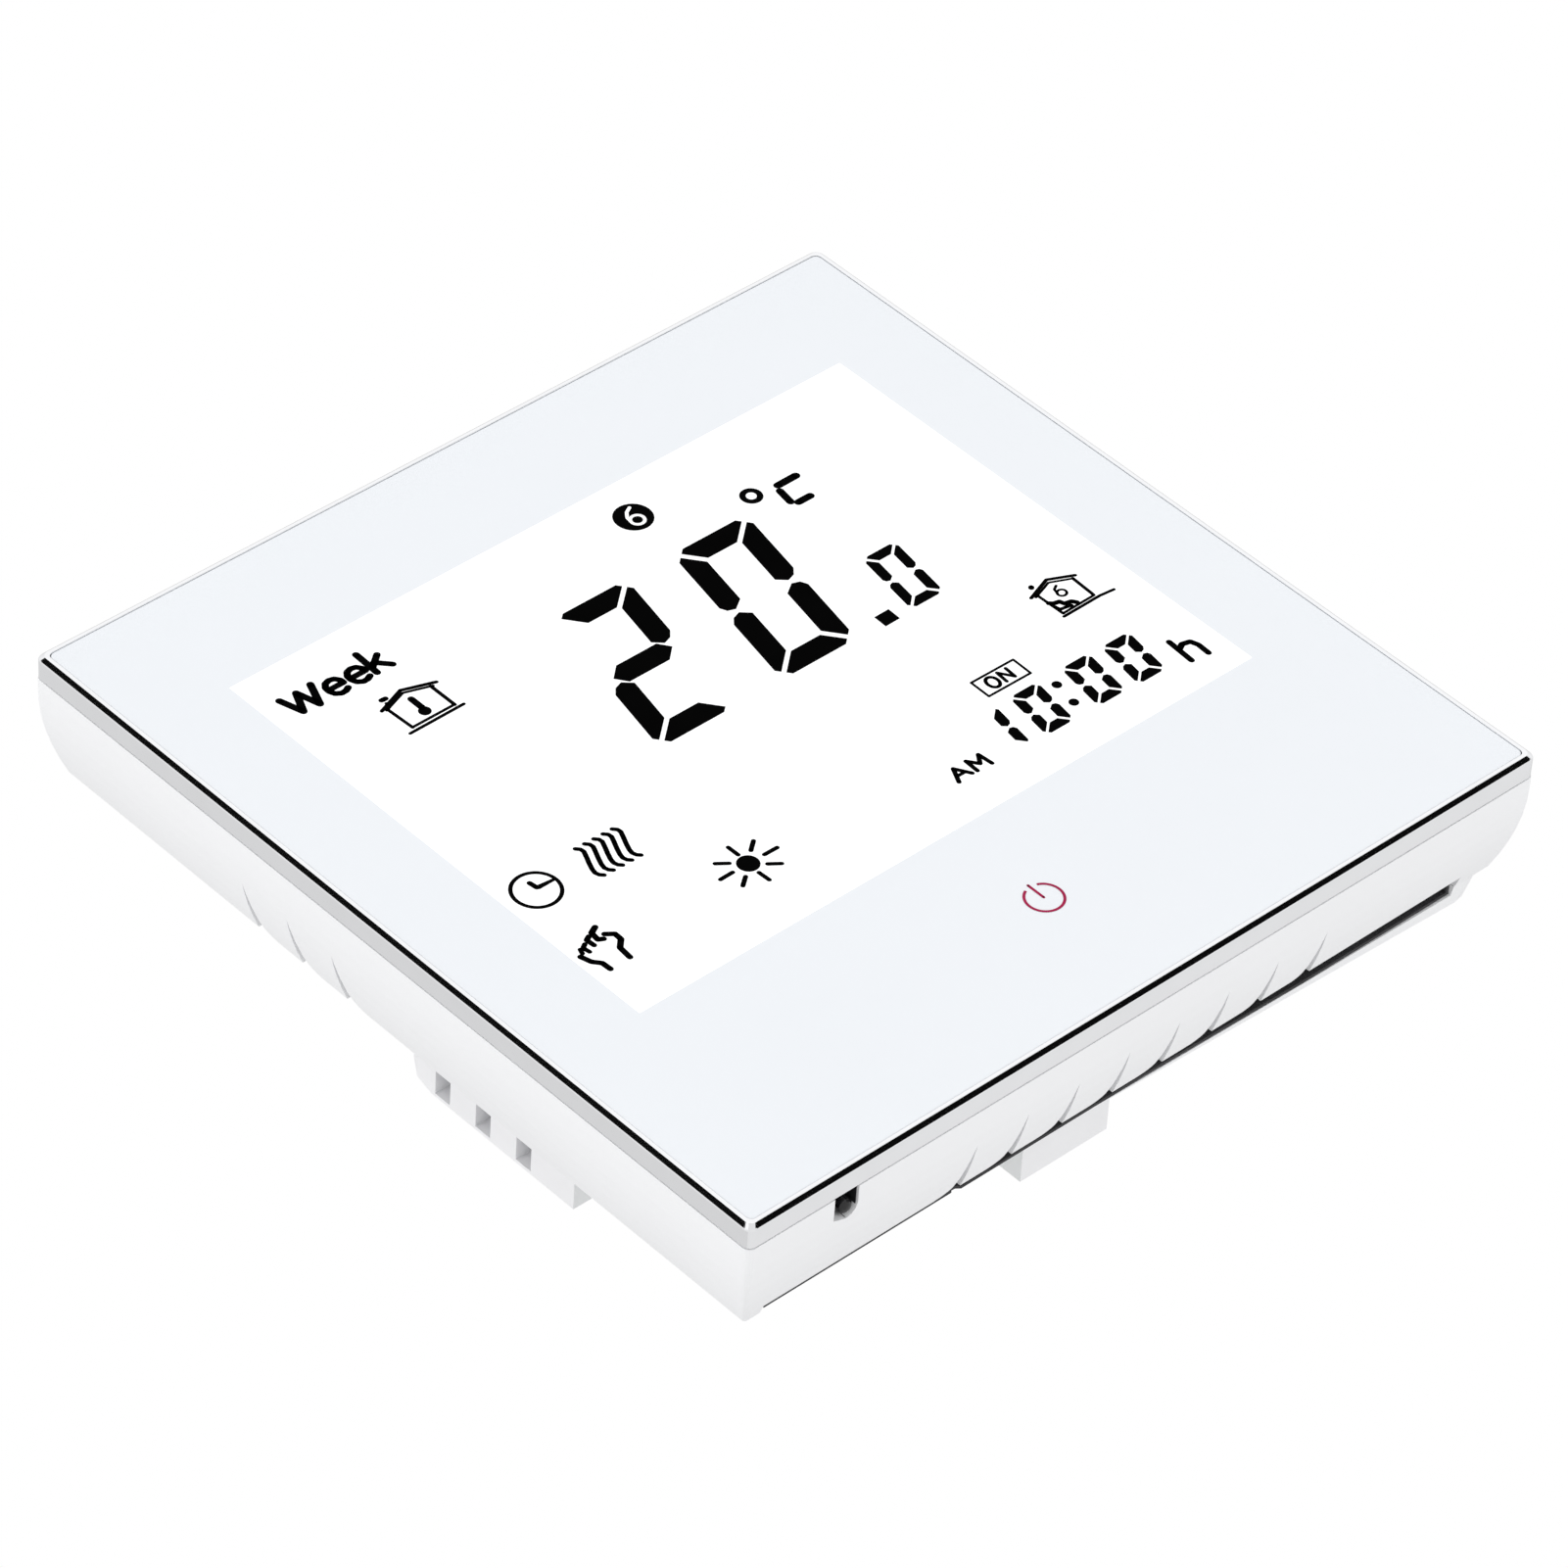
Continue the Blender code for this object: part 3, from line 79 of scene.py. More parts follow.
def new_material(name):
    """A material with a Principled shader, its nodes and its links."""
    material = bpy.data.materials.new(name)
    material.use_nodes = True
    return material, material.node_tree.nodes, material.node_tree.links


def scaled(colour, factor):
    """The colour with its channels multiplied and an alpha of 1."""
    return tuple(min(1.0, channel * factor) for channel in colour) + (1.0,)


def add_noise(nodes, links, scale, detail, stretch):
    """Noise fixed to the object, stretched along its axes."""
    coords = nodes.new("ShaderNodeTexCoord")
    mapping = nodes.new("ShaderNodeMapping")
    mapping.inputs["Scale"].default_value = stretch
    noise = nodes.new("ShaderNodeTexNoise")
    noise.inputs["Scale"].default_value = scale
    noise.inputs["Detail"].default_value = detail
    links.new(coords.outputs["Object"], mapping.inputs["Vector"])
    links.new(mapping.outputs["Vector"], noise.inputs["Vector"])
    return noise


def finish(name, colour, roughness, metallic=0.0, variation=0.02, scale=300.0, grain=3000.0,
           bump=0.00001, stretch=(1.0, 1.0, 1.0), coat=0.0, spread=0.06):
    """A finish with broad colour drift, varied gloss and a fine surface grain."""
    material, nodes, links = new_material(name)
    shader = nodes["Principled BSDF"]
    shader.inputs["Metallic"].default_value = metallic
    shader.inputs["Coat Weight"].default_value = coat
    shader.inputs["Coat Roughness"].default_value = 0.05
    broad = add_noise(nodes, links, scale, 3.0, stretch)
    fine = add_noise(nodes, links, grain, 2.0, stretch)
    ramp = nodes.new("ShaderNodeValToRGB")
    ramp.color_ramp.elements[0].position = 0.3
    ramp.color_ramp.elements[1].position = 0.7
    ramp.color_ramp.elements[0].color = scaled(colour, 1.0 - variation)
    ramp.color_ramp.elements[1].color = scaled(colour, 1.0 + variation)
    links.new(broad.outputs["Fac"], ramp.inputs["Fac"])
    links.new(ramp.outputs["Color"], shader.inputs["Base Color"])
    gloss = nodes.new("ShaderNodeMapRange")
    gloss.inputs["To Min"].default_value = max(0.02, roughness - spread)
    gloss.inputs["To Max"].default_value = min(1.0, roughness + spread)
    links.new(fine.outputs["Fac"], gloss.inputs["Value"])
    links.new(gloss.outputs["Result"], shader.inputs["Roughness"])
    relief = nodes.new("ShaderNodeBump")
    relief.inputs["Distance"].default_value = bump
    relief.inputs["Strength"].default_value = 0.6
    links.new(fine.outputs["Fac"], relief.inputs["Height"])
    links.new(relief.outputs["Normal"], shader.inputs["Normal"])
    return material


def circuit_finish(name):
    """Solder-masked board: copper tracks under green mask, with pale pads."""
    mask, mask_light, track = (0.012, 0.10, 0.045, 1), (0.016, 0.13, 0.055, 1), (0.03, 0.20, 0.08, 1)
    solder = (0.62, 0.60, 0.55, 1)
    pad_size = 0.17
    material, nodes, links = new_material(name)
    shader = nodes["Principled BSDF"]
    shader.inputs["Roughness"].default_value = 0.35
    coords = nodes.new("ShaderNodeTexCoord")
    tracks = nodes.new("ShaderNodeTexBrick")
    tracks.inputs["Scale"].default_value = 420.0
    tracks.inputs["Mortar Size"].default_value = 0.06
    tracks.inputs["Color1"].default_value = mask
    tracks.inputs["Color2"].default_value = mask_light
    tracks.inputs["Mortar"].default_value = track
    turn = nodes.new("ShaderNodeMapping")
    turn.inputs["Rotation"].default_value = (math.radians(90), 0, 0)
    links.new(coords.outputs["Object"], turn.inputs["Vector"])
    links.new(turn.outputs["Vector"], tracks.inputs["Vector"])
    dots = nodes.new("ShaderNodeTexVoronoi")
    dots.inputs["Scale"].default_value = 330.0
    links.new(coords.outputs["Object"], dots.inputs["Vector"])
    pad = nodes.new("ShaderNodeMath")
    pad.operation = "LESS_THAN"
    pad.inputs[1].default_value = pad_size
    links.new(dots.outputs["Distance"], pad.inputs[0])
    mix = nodes.new("ShaderNodeMix")
    mix.data_type = "RGBA"
    mix.inputs[7].default_value = solder
    links.new(pad.outputs[0], mix.inputs[0])
    links.new(tracks.outputs["Color"], mix.inputs[6])
    links.new(mix.outputs[2], shader.inputs["Base Color"])
    relief = nodes.new("ShaderNodeBump")
    relief.inputs["Distance"].default_value = 0.00004
    links.new(tracks.outputs["Fac"], relief.inputs["Height"])
    links.new(relief.outputs["Normal"], shader.inputs["Normal"])
    return material


def winding_finish(name, colour, metallic, turns):
    """Fine parallel turns of wire or edges of tape."""
    material, nodes, links = new_material(name)
    shader = nodes["Principled BSDF"]
    shader.inputs["Metallic"].default_value = metallic
    shader.inputs["Roughness"].default_value = 0.35
    coords = nodes.new("ShaderNodeTexCoord")
    wave = nodes.new("ShaderNodeTexWave")
    wave.bands_direction = "Y"
    wave.inputs["Scale"].default_value = turns
    wave.inputs["Distortion"].default_value = 0.4
    links.new(coords.outputs["Object"], wave.inputs["Vector"])
    ramp = nodes.new("ShaderNodeValToRGB")
    ramp.color_ramp.elements[0].color = scaled(colour, 0.55)
    ramp.color_ramp.elements[1].color = scaled(colour, 1.1)
    links.new(wave.outputs["Fac"], ramp.inputs["Fac"])
    links.new(ramp.outputs["Color"], shader.inputs["Base Color"])
    relief = nodes.new("ShaderNodeBump")
    relief.inputs["Distance"].default_value = 0.00008
    links.new(wave.outputs["Fac"], relief.inputs["Height"])
    links.new(relief.outputs["Normal"], shader.inputs["Normal"])
    return material


def glowing(material, strength):
    """The same material with a white glow added."""
    shader = material.node_tree.nodes["Principled BSDF"]
    shader.inputs["Emission Color"].default_value = (1.0, 1.0, 1.0, 1.0)
    shader.inputs["Emission Strength"].default_value = strength
    return material


def ink(name, colour):
    """Matt ink or switched-on segment seen through the glass."""
    material = finish(name, colour, 0.9, variation=0.1, bump=0.0)
    material.node_tree.nodes["Principled BSDF"].inputs["Specular IOR Level"].default_value = 0.0
    return material


white_shell = finish("white_shell", (0.95, 0.955, 0.97), 0.3, variation=0.006, scale=70, grain=2600,
                     bump=0.0000008, spread=0.03)
white_inner = finish("white_inner", (0.80, 0.80, 0.80), 0.5, variation=0.02)
white_box = finish("white_box", (0.925, 0.925, 0.94), 0.4, variation=0.01, grain=2600,
                   bump=0.000001, spread=0.04)
painted_glass = finish("painted_glass", (0.822, 0.848, 0.882), 0.05, variation=0.004, scale=60,
                       bump=0.0, spread=0.01)
bright_chrome = finish("bright_chrome", (0.90, 0.905, 0.92), 0.06, 1.0, variation=0.012,
                       bump=0.0000002, spread=0.02)
zinc_plate = finish("zinc_plate", (0.60, 0.62, 0.65), 0.34, 1.0, variation=0.12, scale=240, grain=2500,
                    bump=0.000012, stretch=(1, 1, 14), spread=0.12)
bright_zinc = finish("bright_zinc", (0.66, 0.67, 0.69), 0.27, 1.0, variation=0.08, scale=700, bump=0.00001)
brass_metal = finish("brass_metal", (0.70, 0.54, 0.24), 0.3, 1.0, variation=0.08, scale=600, bump=0.00001)
steel_sheet = finish("steel_sheet", (0.50, 0.51, 0.53), 0.32, 1.0, variation=0.08, scale=500, stretch=(1, 1, 8))
black_mould = finish("black_mould", (0.014, 0.014, 0.016), 0.4, variation=0.25, grain=4500, bump=0.00001)
bead_epoxy = finish("bead_epoxy", (0.008, 0.008, 0.009), 0.16, variation=0.25, bump=0.0)
black_rubber_and_painted_shade = finish("black_rubber_and_painted_shade", (0.03, 0.03, 0.033), 0.75, variation=0.2, grain=3500, bump=0.00002)
terminal_green = finish("terminal_green", (0.035, 0.20, 0.095), 0.42, variation=0.08, grain=4000)
ferrite_core = finish("ferrite_core", (0.055, 0.056, 0.062), 0.6, variation=0.3, scale=1500, bump=0.00002)
blue_case = finish("blue_case", (0.035, 0.10, 0.36), 0.36, variation=0.06, grain=4000, coat=0.2)
blue_epoxy = finish("blue_epoxy", (0.02, 0.09, 0.34), 0.3, variation=0.2, scale=900, bump=0.00003, coat=0.5)
yellow_case = finish("yellow_case", (0.70, 0.52, 0.09), 0.4, variation=0.06, grain=4000)
dark_sleeve = finish("dark_sleeve", (0.015, 0.022, 0.045), 0.3, variation=0.2, coat=0.4)
fuse_ceramic = finish("fuse_ceramic", (0.16, 0.055, 0.03), 0.3, variation=0.15, coat=0.5)
clear_sheet = finish("clear_sheet", (0.80, 0.84, 0.87), 0.12, variation=0.02, bump=0.0)
lcd_back = finish("lcd_back", (0.55, 0.58, 0.58), 0.15, variation=0.04, bump=0.0)
green_board = circuit_finish("green_board")
copper_coil = winding_finish("copper_coil", (0.70, 0.30, 0.14), 1.0, 900.0)
tape_winding = winding_finish("tape_winding", (0.80, 0.58, 0.08), 0.0, 160.0)
cell_steel = finish("cell_steel", (0.68, 0.68, 0.69), 0.22, 1.0, variation=0.05, scale=1500, stretch=(1, 1, 10))
lit_window = glowing(finish("lit_window", (0.93, 0.935, 0.94), 0.06, variation=0.003, bump=0.0), 0.22)
segment_ink = ink("segment_ink", (0.002, 0.002, 0.002))
crimson_ink = ink("crimson_ink", (0.36, 0.022, 0.075))

NODE_FINISH = {
    white_shell: ["front_housing", "rear_base"],
    white_inner: ["display_holder", "backlight_reflector"],
    white_box: ["power_box"],
    bright_chrome: ["chrome_trim"],
    zinc_plate: ["mounting_plate"],
    steel_sheet: ["relay_yoke", "relay_armature"],
    black_mould: ["microcontroller", "board_header", "board_socket", "relay_base", "bridge_rectifier"],
    bead_epoxy: ["sensor_bead"],
    # Black on the insulating sheet is painted shade in the slot between housing and base; the seal and connector
    # are black rubber
    black_rubber_and_painted_shade: ["bottom_seal", "insulating_sheet", "elastomer_connector"],
    terminal_green: ["mains_terminal_block", "sensor_terminal_block"],
    ferrite_core: ["transformer_core"],
    blue_case: ["relay_cover"],
    blue_epoxy: ["varistor"],
    yellow_case: ["suppression_capacitor"],
    dark_sleeve: ["bulk_capacitor"],
    fuse_ceramic: ["fuse"],
    clear_sheet: ["touch_film", "light_guide"],
    lcd_back: ["lcd_cell"],
    green_board: ["display_board", "power_board"],
    copper_coil: ["relay_coil"],
    tape_winding: ["transformer_winding"],
    cell_steel: ["clock_battery"],
    painted_glass: ["glass_panel"],
}


def paint_nodes():
    """Gives every CAD node its finish; clamps are brass and the rest zinc."""
    given = {name: material for material, names in NODE_FINISH.items() for name in names}
    for name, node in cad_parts.items():
        material = given.get(name)
        if material is None:
            material = brass_metal if "clamp" in name else bright_zinc
        node.data.materials.clear()
        node.data.materials.append(material)


# ------------------------------------------------------------- mesh helpers


def put_piece(name, mesh, material, body):
    """Turns a bmesh into a piece that rides on a body."""
    data = bpy.data.meshes.new(name)
    mesh.to_mesh(data)
    mesh.free()
    data.materials.append(material)
    piece = bpy.data.objects.new(name, data)
    bpy.context.scene.collection.objects.link(piece)
    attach(piece, body)
    return piece


def corner_outline(left, right, bottom, top, radius, steps=5):
    """A rectangle with rounded corners, as (x, z) points."""
    points = []
    spots = [(left, bottom, 180), (right, bottom, 270), (right, top, 0), (left, top, 90)]
    for x, z, start in spots:
        centre_x = x + radius if x == left else x - radius
        centre_z = z + radius if z == bottom else z - radius
        for step in range(steps + 1):
            angle = math.radians(start + 90 * step / steps)
            points.append((centre_x + radius * math.cos(angle), centre_z + radius * math.sin(angle)))
    return points


def join_loops(mesh, first, second):
    """A band of quads between two closed loops of as many vertices."""
    for index in range(len(first)):
        after = (index + 1) % len(first)
        mesh.faces.new((first[index], first[after], second[after], second[index]))


def stacked(outlines):
    """A closed solid through (outline, y) pairs, with both ends capped."""
    mesh = bmesh.new()
    loops = [[mesh.verts.new((x, y, z)) for x, z in outline] for outline, y in outlines]
    for first, second in zip(loops, loops[1:]):
        join_loops(mesh, first, second)
    mesh.faces.new(loops[0])
    mesh.faces.new(loops[-1])
    bmesh.ops.recalc_face_normals(mesh, faces=mesh.faces)
    return mesh


# ------------------------------------------------------ glass and display

glass_low, glass_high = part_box("glass_panel")
lcd_low, lcd_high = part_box("lcd_cell")
GLASS_SETBACK = 0.04 * MM  # room for the display's layers in front of the glass
LAYER = 0.012 * MM
GLASS_FRONT = glass_low.y + GLASS_SETBACK
WINDOW_FRONT = GLASS_FRONT - LAYER
INK_FRONT = WINDOW_FRONT - LAYER
SIX_FRONT = INK_FRONT - LAYER / 2
GLASS_EDGE = 0.14 * MM  # polished edge reaching into the gap round the glass
GLASS_CORNER = 0.6 * MM
# Rounding of the front edge: inset, depth and corner radius in millimetres
GLASS_ROUNDING = ((0.13, 0.0, 0.5), (0.06, 0.02, 0.55), (0.015, 0.06, 0.6), (0.0, 0.13, 0.6))
# Border of the display that the paint on the glass covers
WINDOW_SIDE = 2.5 * MM
WINDOW_TOP = 2.75 * MM
WINDOW_BOTTOM = 2.55 * MM
WINDOW_CORNER = 0.1 * MM
WINDOW_SUNK = 0.01 * MM


def make_glass():
    """Glass face with its rounded edge, and the lit window painted on it."""
    left, right = glass_low.x - GLASS_EDGE, glass_high.x + GLASS_EDGE
    bottom, top = glass_low.z - GLASS_EDGE, glass_high.z + GLASS_EDGE
    layers = []
    for inset, level, radius in GLASS_ROUNDING:
        step = inset * MM
        outline = corner_outline(left + step, right - step, bottom + step, top - step, radius * MM)
        layers.append((outline, GLASS_FRONT + level * MM))
    layers.append((corner_outline(left, right, bottom, top, GLASS_CORNER), glass_high.y))
    glass = put_piece("glass_face", stacked(layers), painted_glass, "front_unit")
    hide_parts("glass_panel")

    window = corner_outline(
        lcd_low.x + WINDOW_SIDE,
        lcd_high.x - WINDOW_SIDE,
        lcd_low.z + WINDOW_BOTTOM,
        lcd_high.z - WINDOW_TOP,
        WINDOW_CORNER,
    )
    mesh = stacked([(window, WINDOW_FRONT), (window, GLASS_FRONT + WINDOW_SUNK)])
    put_piece("display_window", mesh, lit_window, "front_unit")


class Sheet:
    """Flat shapes on one plane just in front of the glass, in millimetres."""

    def __init__(self, level):
        self.mesh = bmesh.new()
        self.level = level

    def polygon(self, points):
        """One face, turned towards the viewer whichever way its points run."""
        area = 0.0
        for (x0, z0), (x1, z1) in zip(points, points[1:] + points[:1]):
            area += x0 * z1 - x1 * z0
        ordered = points if area > 0 else points[::-1]
        verts = [self.mesh.verts.new((x * MM, self.level, z * MM)) for x, z in ordered]
        self.mesh.faces.new(verts)

    def disc(self, x, z, radius, steps=28):
        turn = 2 * math.pi / steps
        angles = [step * turn for step in range(steps)]
        self.polygon([(x + radius * math.cos(angle), z + radius * math.sin(angle)) for angle in angles])

    def stroke(self, points, width, closed=False):
        """A line of constant width through the points, with round joins."""
        line = points + points[:1] if closed else points
        half = width / 2
        for (x0, z0), (x1, z1) in zip(line, line[1:]):
            length = math.hypot(x1 - x0, z1 - z0)
            across = ((z0 - z1) / length * half, (x1 - x0) / length * half)
            self.polygon([
                (x0 + across[0], z0 + across[1]),
                (x0 - across[0], z0 - across[1]),
                (x1 - across[0], z1 - across[1]),
                (x1 + across[0], z1 + across[1]),
            ])
        for x, z in points:
            self.disc(x, z, half, 12)

    def strokes(self, lines, weight=1.0):
        """Several strokes, each a (points, width) pair."""
        for points, width in lines:
            self.stroke(points, width * weight)

    def arc(self, x, z, radius, width, start=0.0, end=360.0, steps=48):
        """Part of a ring, its angles in degrees from +X."""
        inner, outer = radius - width / 2, radius + width / 2
        for step in range(steps):
            first = math.radians(start + (end - start) * step / steps)
            second = math.radians(start + (end - start) * (step + 1) / steps)
            self.polygon([
                (x + inner * math.cos(first), z + inner * math.sin(first)),
                (x + outer * math.cos(first), z + outer * math.sin(first)),
                (x + outer * math.cos(second), z + outer * math.sin(second)),
                (x + inner * math.cos(second), z + inner * math.sin(second)),
            ])

    def oval(self, x, z, wide, tall, width, steps=28):
        points = []
        for step in range(steps):
            angle = 2 * math.pi * step / steps
            points.append((x + wide * math.cos(angle), z + tall * math.sin(angle)))
        self.stroke(points, width, closed=True)

    def digit(self, segments, corner, width, height, lean, thick, gap):
        """A seven-segment digit from its lower left corner, leaning right.

        Segments a to g have their usual places: a on top, then b to f
        clockwise, and g in the middle.
        """
        w, h, t = width, height, thick
        k = gap * 0.707  # gap along each side of a mitred corner
        clip = t * 0.2
        mid = h / 2
        foot = mid + gap / 2
        shapes = {
            "a": [(k + 2 * clip, h), (w - k - 2 * clip, h), (w - k - clip, h - clip), (w - t - k, h - t),
                  (t + k, h - t), (k + clip, h - clip)],
            "b": [(w, h - k - 2 * clip), (w, foot + t * 0.42), (w - t * 0.2, foot + t * 0.12), (w - t * 0.55, foot),
                  (w - t, foot + t * 0.34), (w - t, h - t - k), (w - clip, h - k - clip)],
            "g": [(k + t * 0.25, mid), (t * 0.72 + k, mid + t / 2), (w - t * 0.72 - k, mid + t / 2),
                  (w - k - t * 0.25, mid), (w - t * 0.72 - k, mid - t / 2), (t * 0.72 + k, mid - t / 2)],
        }
        shapes["c"] = [(x, h - z) for x, z in shapes["b"]]
        shapes["d"] = [(x, h - z) for x, z in shapes["a"]]
        shapes["f"] = [(w - x, z) for x, z in shapes["b"]]
        shapes["e"] = [(w - x, z) for x, z in shapes["c"]]
        for segment in segments:
            shape = shapes[segment]
            if segment in ("b", "f") and "g" in segments:
                shape = [(x, z + t * 0.22 if z < mid + t else z) for x, z in shape]
            if segment in ("c", "e") and "g" in segments:
                shape = [(x, z - t * 0.22 if z > mid - t else z) for x, z in shape]
            self.polygon([(corner[0] + x + lean * z / h, corner[1] + z) for x, z in shape])

    def place(self, name, material, slot):
        return put_piece(name, self.mesh, material, "front_unit")


LARGE_DIGIT = dict(height=17.45, thick=2.2, gap=0.45)
SMALL_DIGIT = dict(width=3.7, height=7.25, lean=1.2, thick=1.02, gap=0.26)
TIME_DIGIT = dict(width=3.15, height=5.3, lean=0.85, thick=1.0, gap=0.22)
ZERO = "abcdef"
ONE = "bc"
TWO = "abged"


def make_temperature():
    sheet = Sheet(INK_FRONT)
    sheet.digit(TWO, (-11.5, 2.4), width=8.15, lean=3.75, **LARGE_DIGIT)
    sheet.digit(ZERO, (1.8, 2.4), width=8.25, lean=3.6, **LARGE_DIGIT)
    sheet.digit(ZERO, (16.0, 2.25), **SMALL_DIGIT)
    sheet.polygon([(12.88, 1.97), (14.5, 2.0), (14.56, 3.45), (12.93, 3.43)])
    # Degree ring and a C of three bars
    sheet.arc(15.65, 21.38, 0.74, 0.56)
    sheet.stroke([(18.3, 21.0), (20.35, 21.02)], 0.8)
    sheet.stroke([(17.95, 20.35), (17.68, 18.75)], 0.74)
    sheet.stroke([(18.15, 18.3), (19.5, 18.3)], 0.76)
    sheet.place("display_temperature", segment_ink, "black_plastic")


# Strokes on the display are (points, width) pairs
CLOCK_LETTERS = [
    # h
    ([(29.57, -14.15), (29.38, -16.95)], 0.58),
    ([(29.55, -15.35), (30.2, -15.0), (30.95, -15.2), (31.2, -15.9), (31.13, -17.15)], 0.58),
    # A and M
    ([(4.28, -15.86), (5.02, -14.38), (5.85, -15.74)], 0.42),
    ([(4.66, -15.24), (5.48, -15.26)], 0.36),
    ([(6.38, -15.78), (6.44, -14.36), (7.14, -15.3), (7.78, -14.4), (7.92, -15.86)], 0.42),
]
ON_BOX = [(13.43, -7.6), (18.1, -7.65), (18.05, -9.78), (13.4, -9.74)]
LETTER_N = [(15.82, -9.3), (15.92, -8.02), (16.78, -9.28), (16.86, -8.06)]
COLON_RADIUS = 0.45


def make_clock_digits():
    sheet = Sheet(INK_FRONT)
    sheet.digit(ONE, (8.98, -16.15), **TIME_DIGIT)
    for corner in ((13.68, -16.2), (19.45, -16.25), (23.88, -16.38)):
        sheet.digit(ZERO, corner, **TIME_DIGIT)
    sheet.disc(18.69, -12.18, COLON_RADIUS)
    sheet.disc(18.25, -14.63, COLON_RADIUS)
    sheet.strokes(CLOCK_LETTERS)
    sheet.place("display_clock", segment_ink, "black_plastic")
    lines = Sheet(INK_FRONT)
    lines.stroke(ON_BOX, 0.25, closed=True)
    lines.oval(14.86, -8.66, 0.52, 0.68, 0.34)
    lines.stroke(LETTER_N, 0.34)
    lines.place("display_on_box", segment_ink, "black_plastic")


FIRST_HOUSE = [
    # roof, walls, ground and chimney, then the thermometer's stem
    ([(-25.85, 19.9), (-23.04, 20.92), (-20.1, 19.88)], 0.3),
    ([(-25.5, 19.72), (-23.1, 20.55), (-20.6, 19.68)], 0.22),
    ([(-25.36, 19.75), (-25.22, 16.82)], 0.27),
    ([(-20.8, 19.75), (-20.78, 16.82)], 0.3),
    ([(-25.22, 16.84), (-20.78, 16.84)], 0.24),
    ([(-25.86, 16.38), (-20.15, 16.42)], 0.26),
    ([(-25.02, 20.92), (-24.62, 20.9)], 0.42),
    ([(-24.95, 20.4), (-24.95, 20.25)], 0.26),
    ([(-23.05, 19.55), (-23.05, 18.2)], 0.52),
]
SECOND_HOUSE = [
    # roof, walls, ground and chimney, then the small figure inside
    ([(24.64, -2.96), (27.25, -2.04), (29.52, -3.12)], 0.28),
    ([(25.0, -3.14), (27.12, -2.42), (29.05, -3.3)], 0.2),
    ([(25.27, -2.95), (25.34, -6.02)], 0.25),
    ([(29.08, -3.3), (28.95, -5.85)], 0.28),
    ([(25.34, -6.02), (28.95, -5.95)], 0.22),
    ([(25.12, -6.36), (29.3, -6.3), (30.75, -6.46)], 0.25),
    ([(25.55, -2.02), (25.62, -1.94)], 0.42),
    ([(25.32, -4.35), (25.62, -4.62), (26.15, -4.75), (26.3, -5.2), (26.95, -5.35), (27.2, -5.7)], 0.42),
    ([(25.4, -5.0), (25.5, -5.5), (26.1, -5.6), (26.6, -5.72)], 0.3),
]
HAND = [
    # forefinger, back of the hand, three fingers and the thumb's side
    ([(-29.63, -10.28), (-30.3, -10.62), (-30.42, -11.5), (-30.02, -11.72)], 0.44),
    ([(-29.6, -11.36), (-28.95, -11.86), (-28.98, -12.6), (-29.7, -13.3), (-29.83, -14.6)], 0.44),
    ([(-30.72, -10.78), (-31.14, -11.0), (-31.08, -11.8)], 0.4),
    ([(-31.56, -11.26), (-31.95, -11.5), (-31.86, -12.15)], 0.36),
    ([(-32.25, -11.5), (-32.42, -11.95)], 0.34),
    ([(-32.78, -12.15), (-32.5, -13.1), (-31.95, -13.75), (-31.9, -14.65)], 0.44),
]
LINE_WEIGHT = 1.25  # of the houses' and the hand's strokes
WEEK_LINES = [
    ([(-31.42, 26.05), (-30.74, 23.85), (-29.76, 25.95), (-29.12, 23.72), (-28.18, 26.05)], 0.7),
    ([(-22.95, 26.55), (-23.05, 23.8)], 0.68),
    ([(-21.62, 25.5), (-22.85, 24.55)], 0.62),
    ([(-22.45, 24.9), (-21.4, 23.78)], 0.64),
]
SHORT_E = [
    (0.0, 0.02), (1.62, 0.02), (1.6, 0.4), (1.3, 0.82), (0.83, 0.95), (0.34, 0.8), (0.02, 0.38),
    (-0.02, -0.12), (0.18, -0.62), (0.64, -0.92), (1.12, -0.9), (1.5, -0.7),
]
SHORT_E_PLACES = ((-27.55, 24.55), (-25.25, 24.55))
WAVE = [
    (-0.06, 0), (0.22, -0.3), (0.26, -0.66), (-0.02, -1.3), (-0.34, -1.98), (-0.62, -2.66),
    (-0.72, -3.12), (-0.6, -3.5), (-0.34, -3.76),
]
WAVE_COUNT = 5
WAVE_START = (-24.72, -2.42)
WAVE_STEP = (0.955, -0.02)
SUN_CENTRE = (-15.35, -12.37)
SUN_RAYS = [
    [(-17.4, -10.72), (-16.5, -11.4)],
    [(-15.3, -9.95), (-15.28, -11.1)],
    [(-13.22, -10.64), (-14.15, -11.36)],
    [(-12.3, -12.42), (-13.65, -12.4)],
    [(-13.3, -14.05), (-14.2, -13.38)],
    [(-15.36, -14.85), (-15.42, -13.7)],
    [(-17.45, -14.05), (-16.55, -13.38)],
    [(-18.32, -12.38), (-17.0, -12.36)],
]


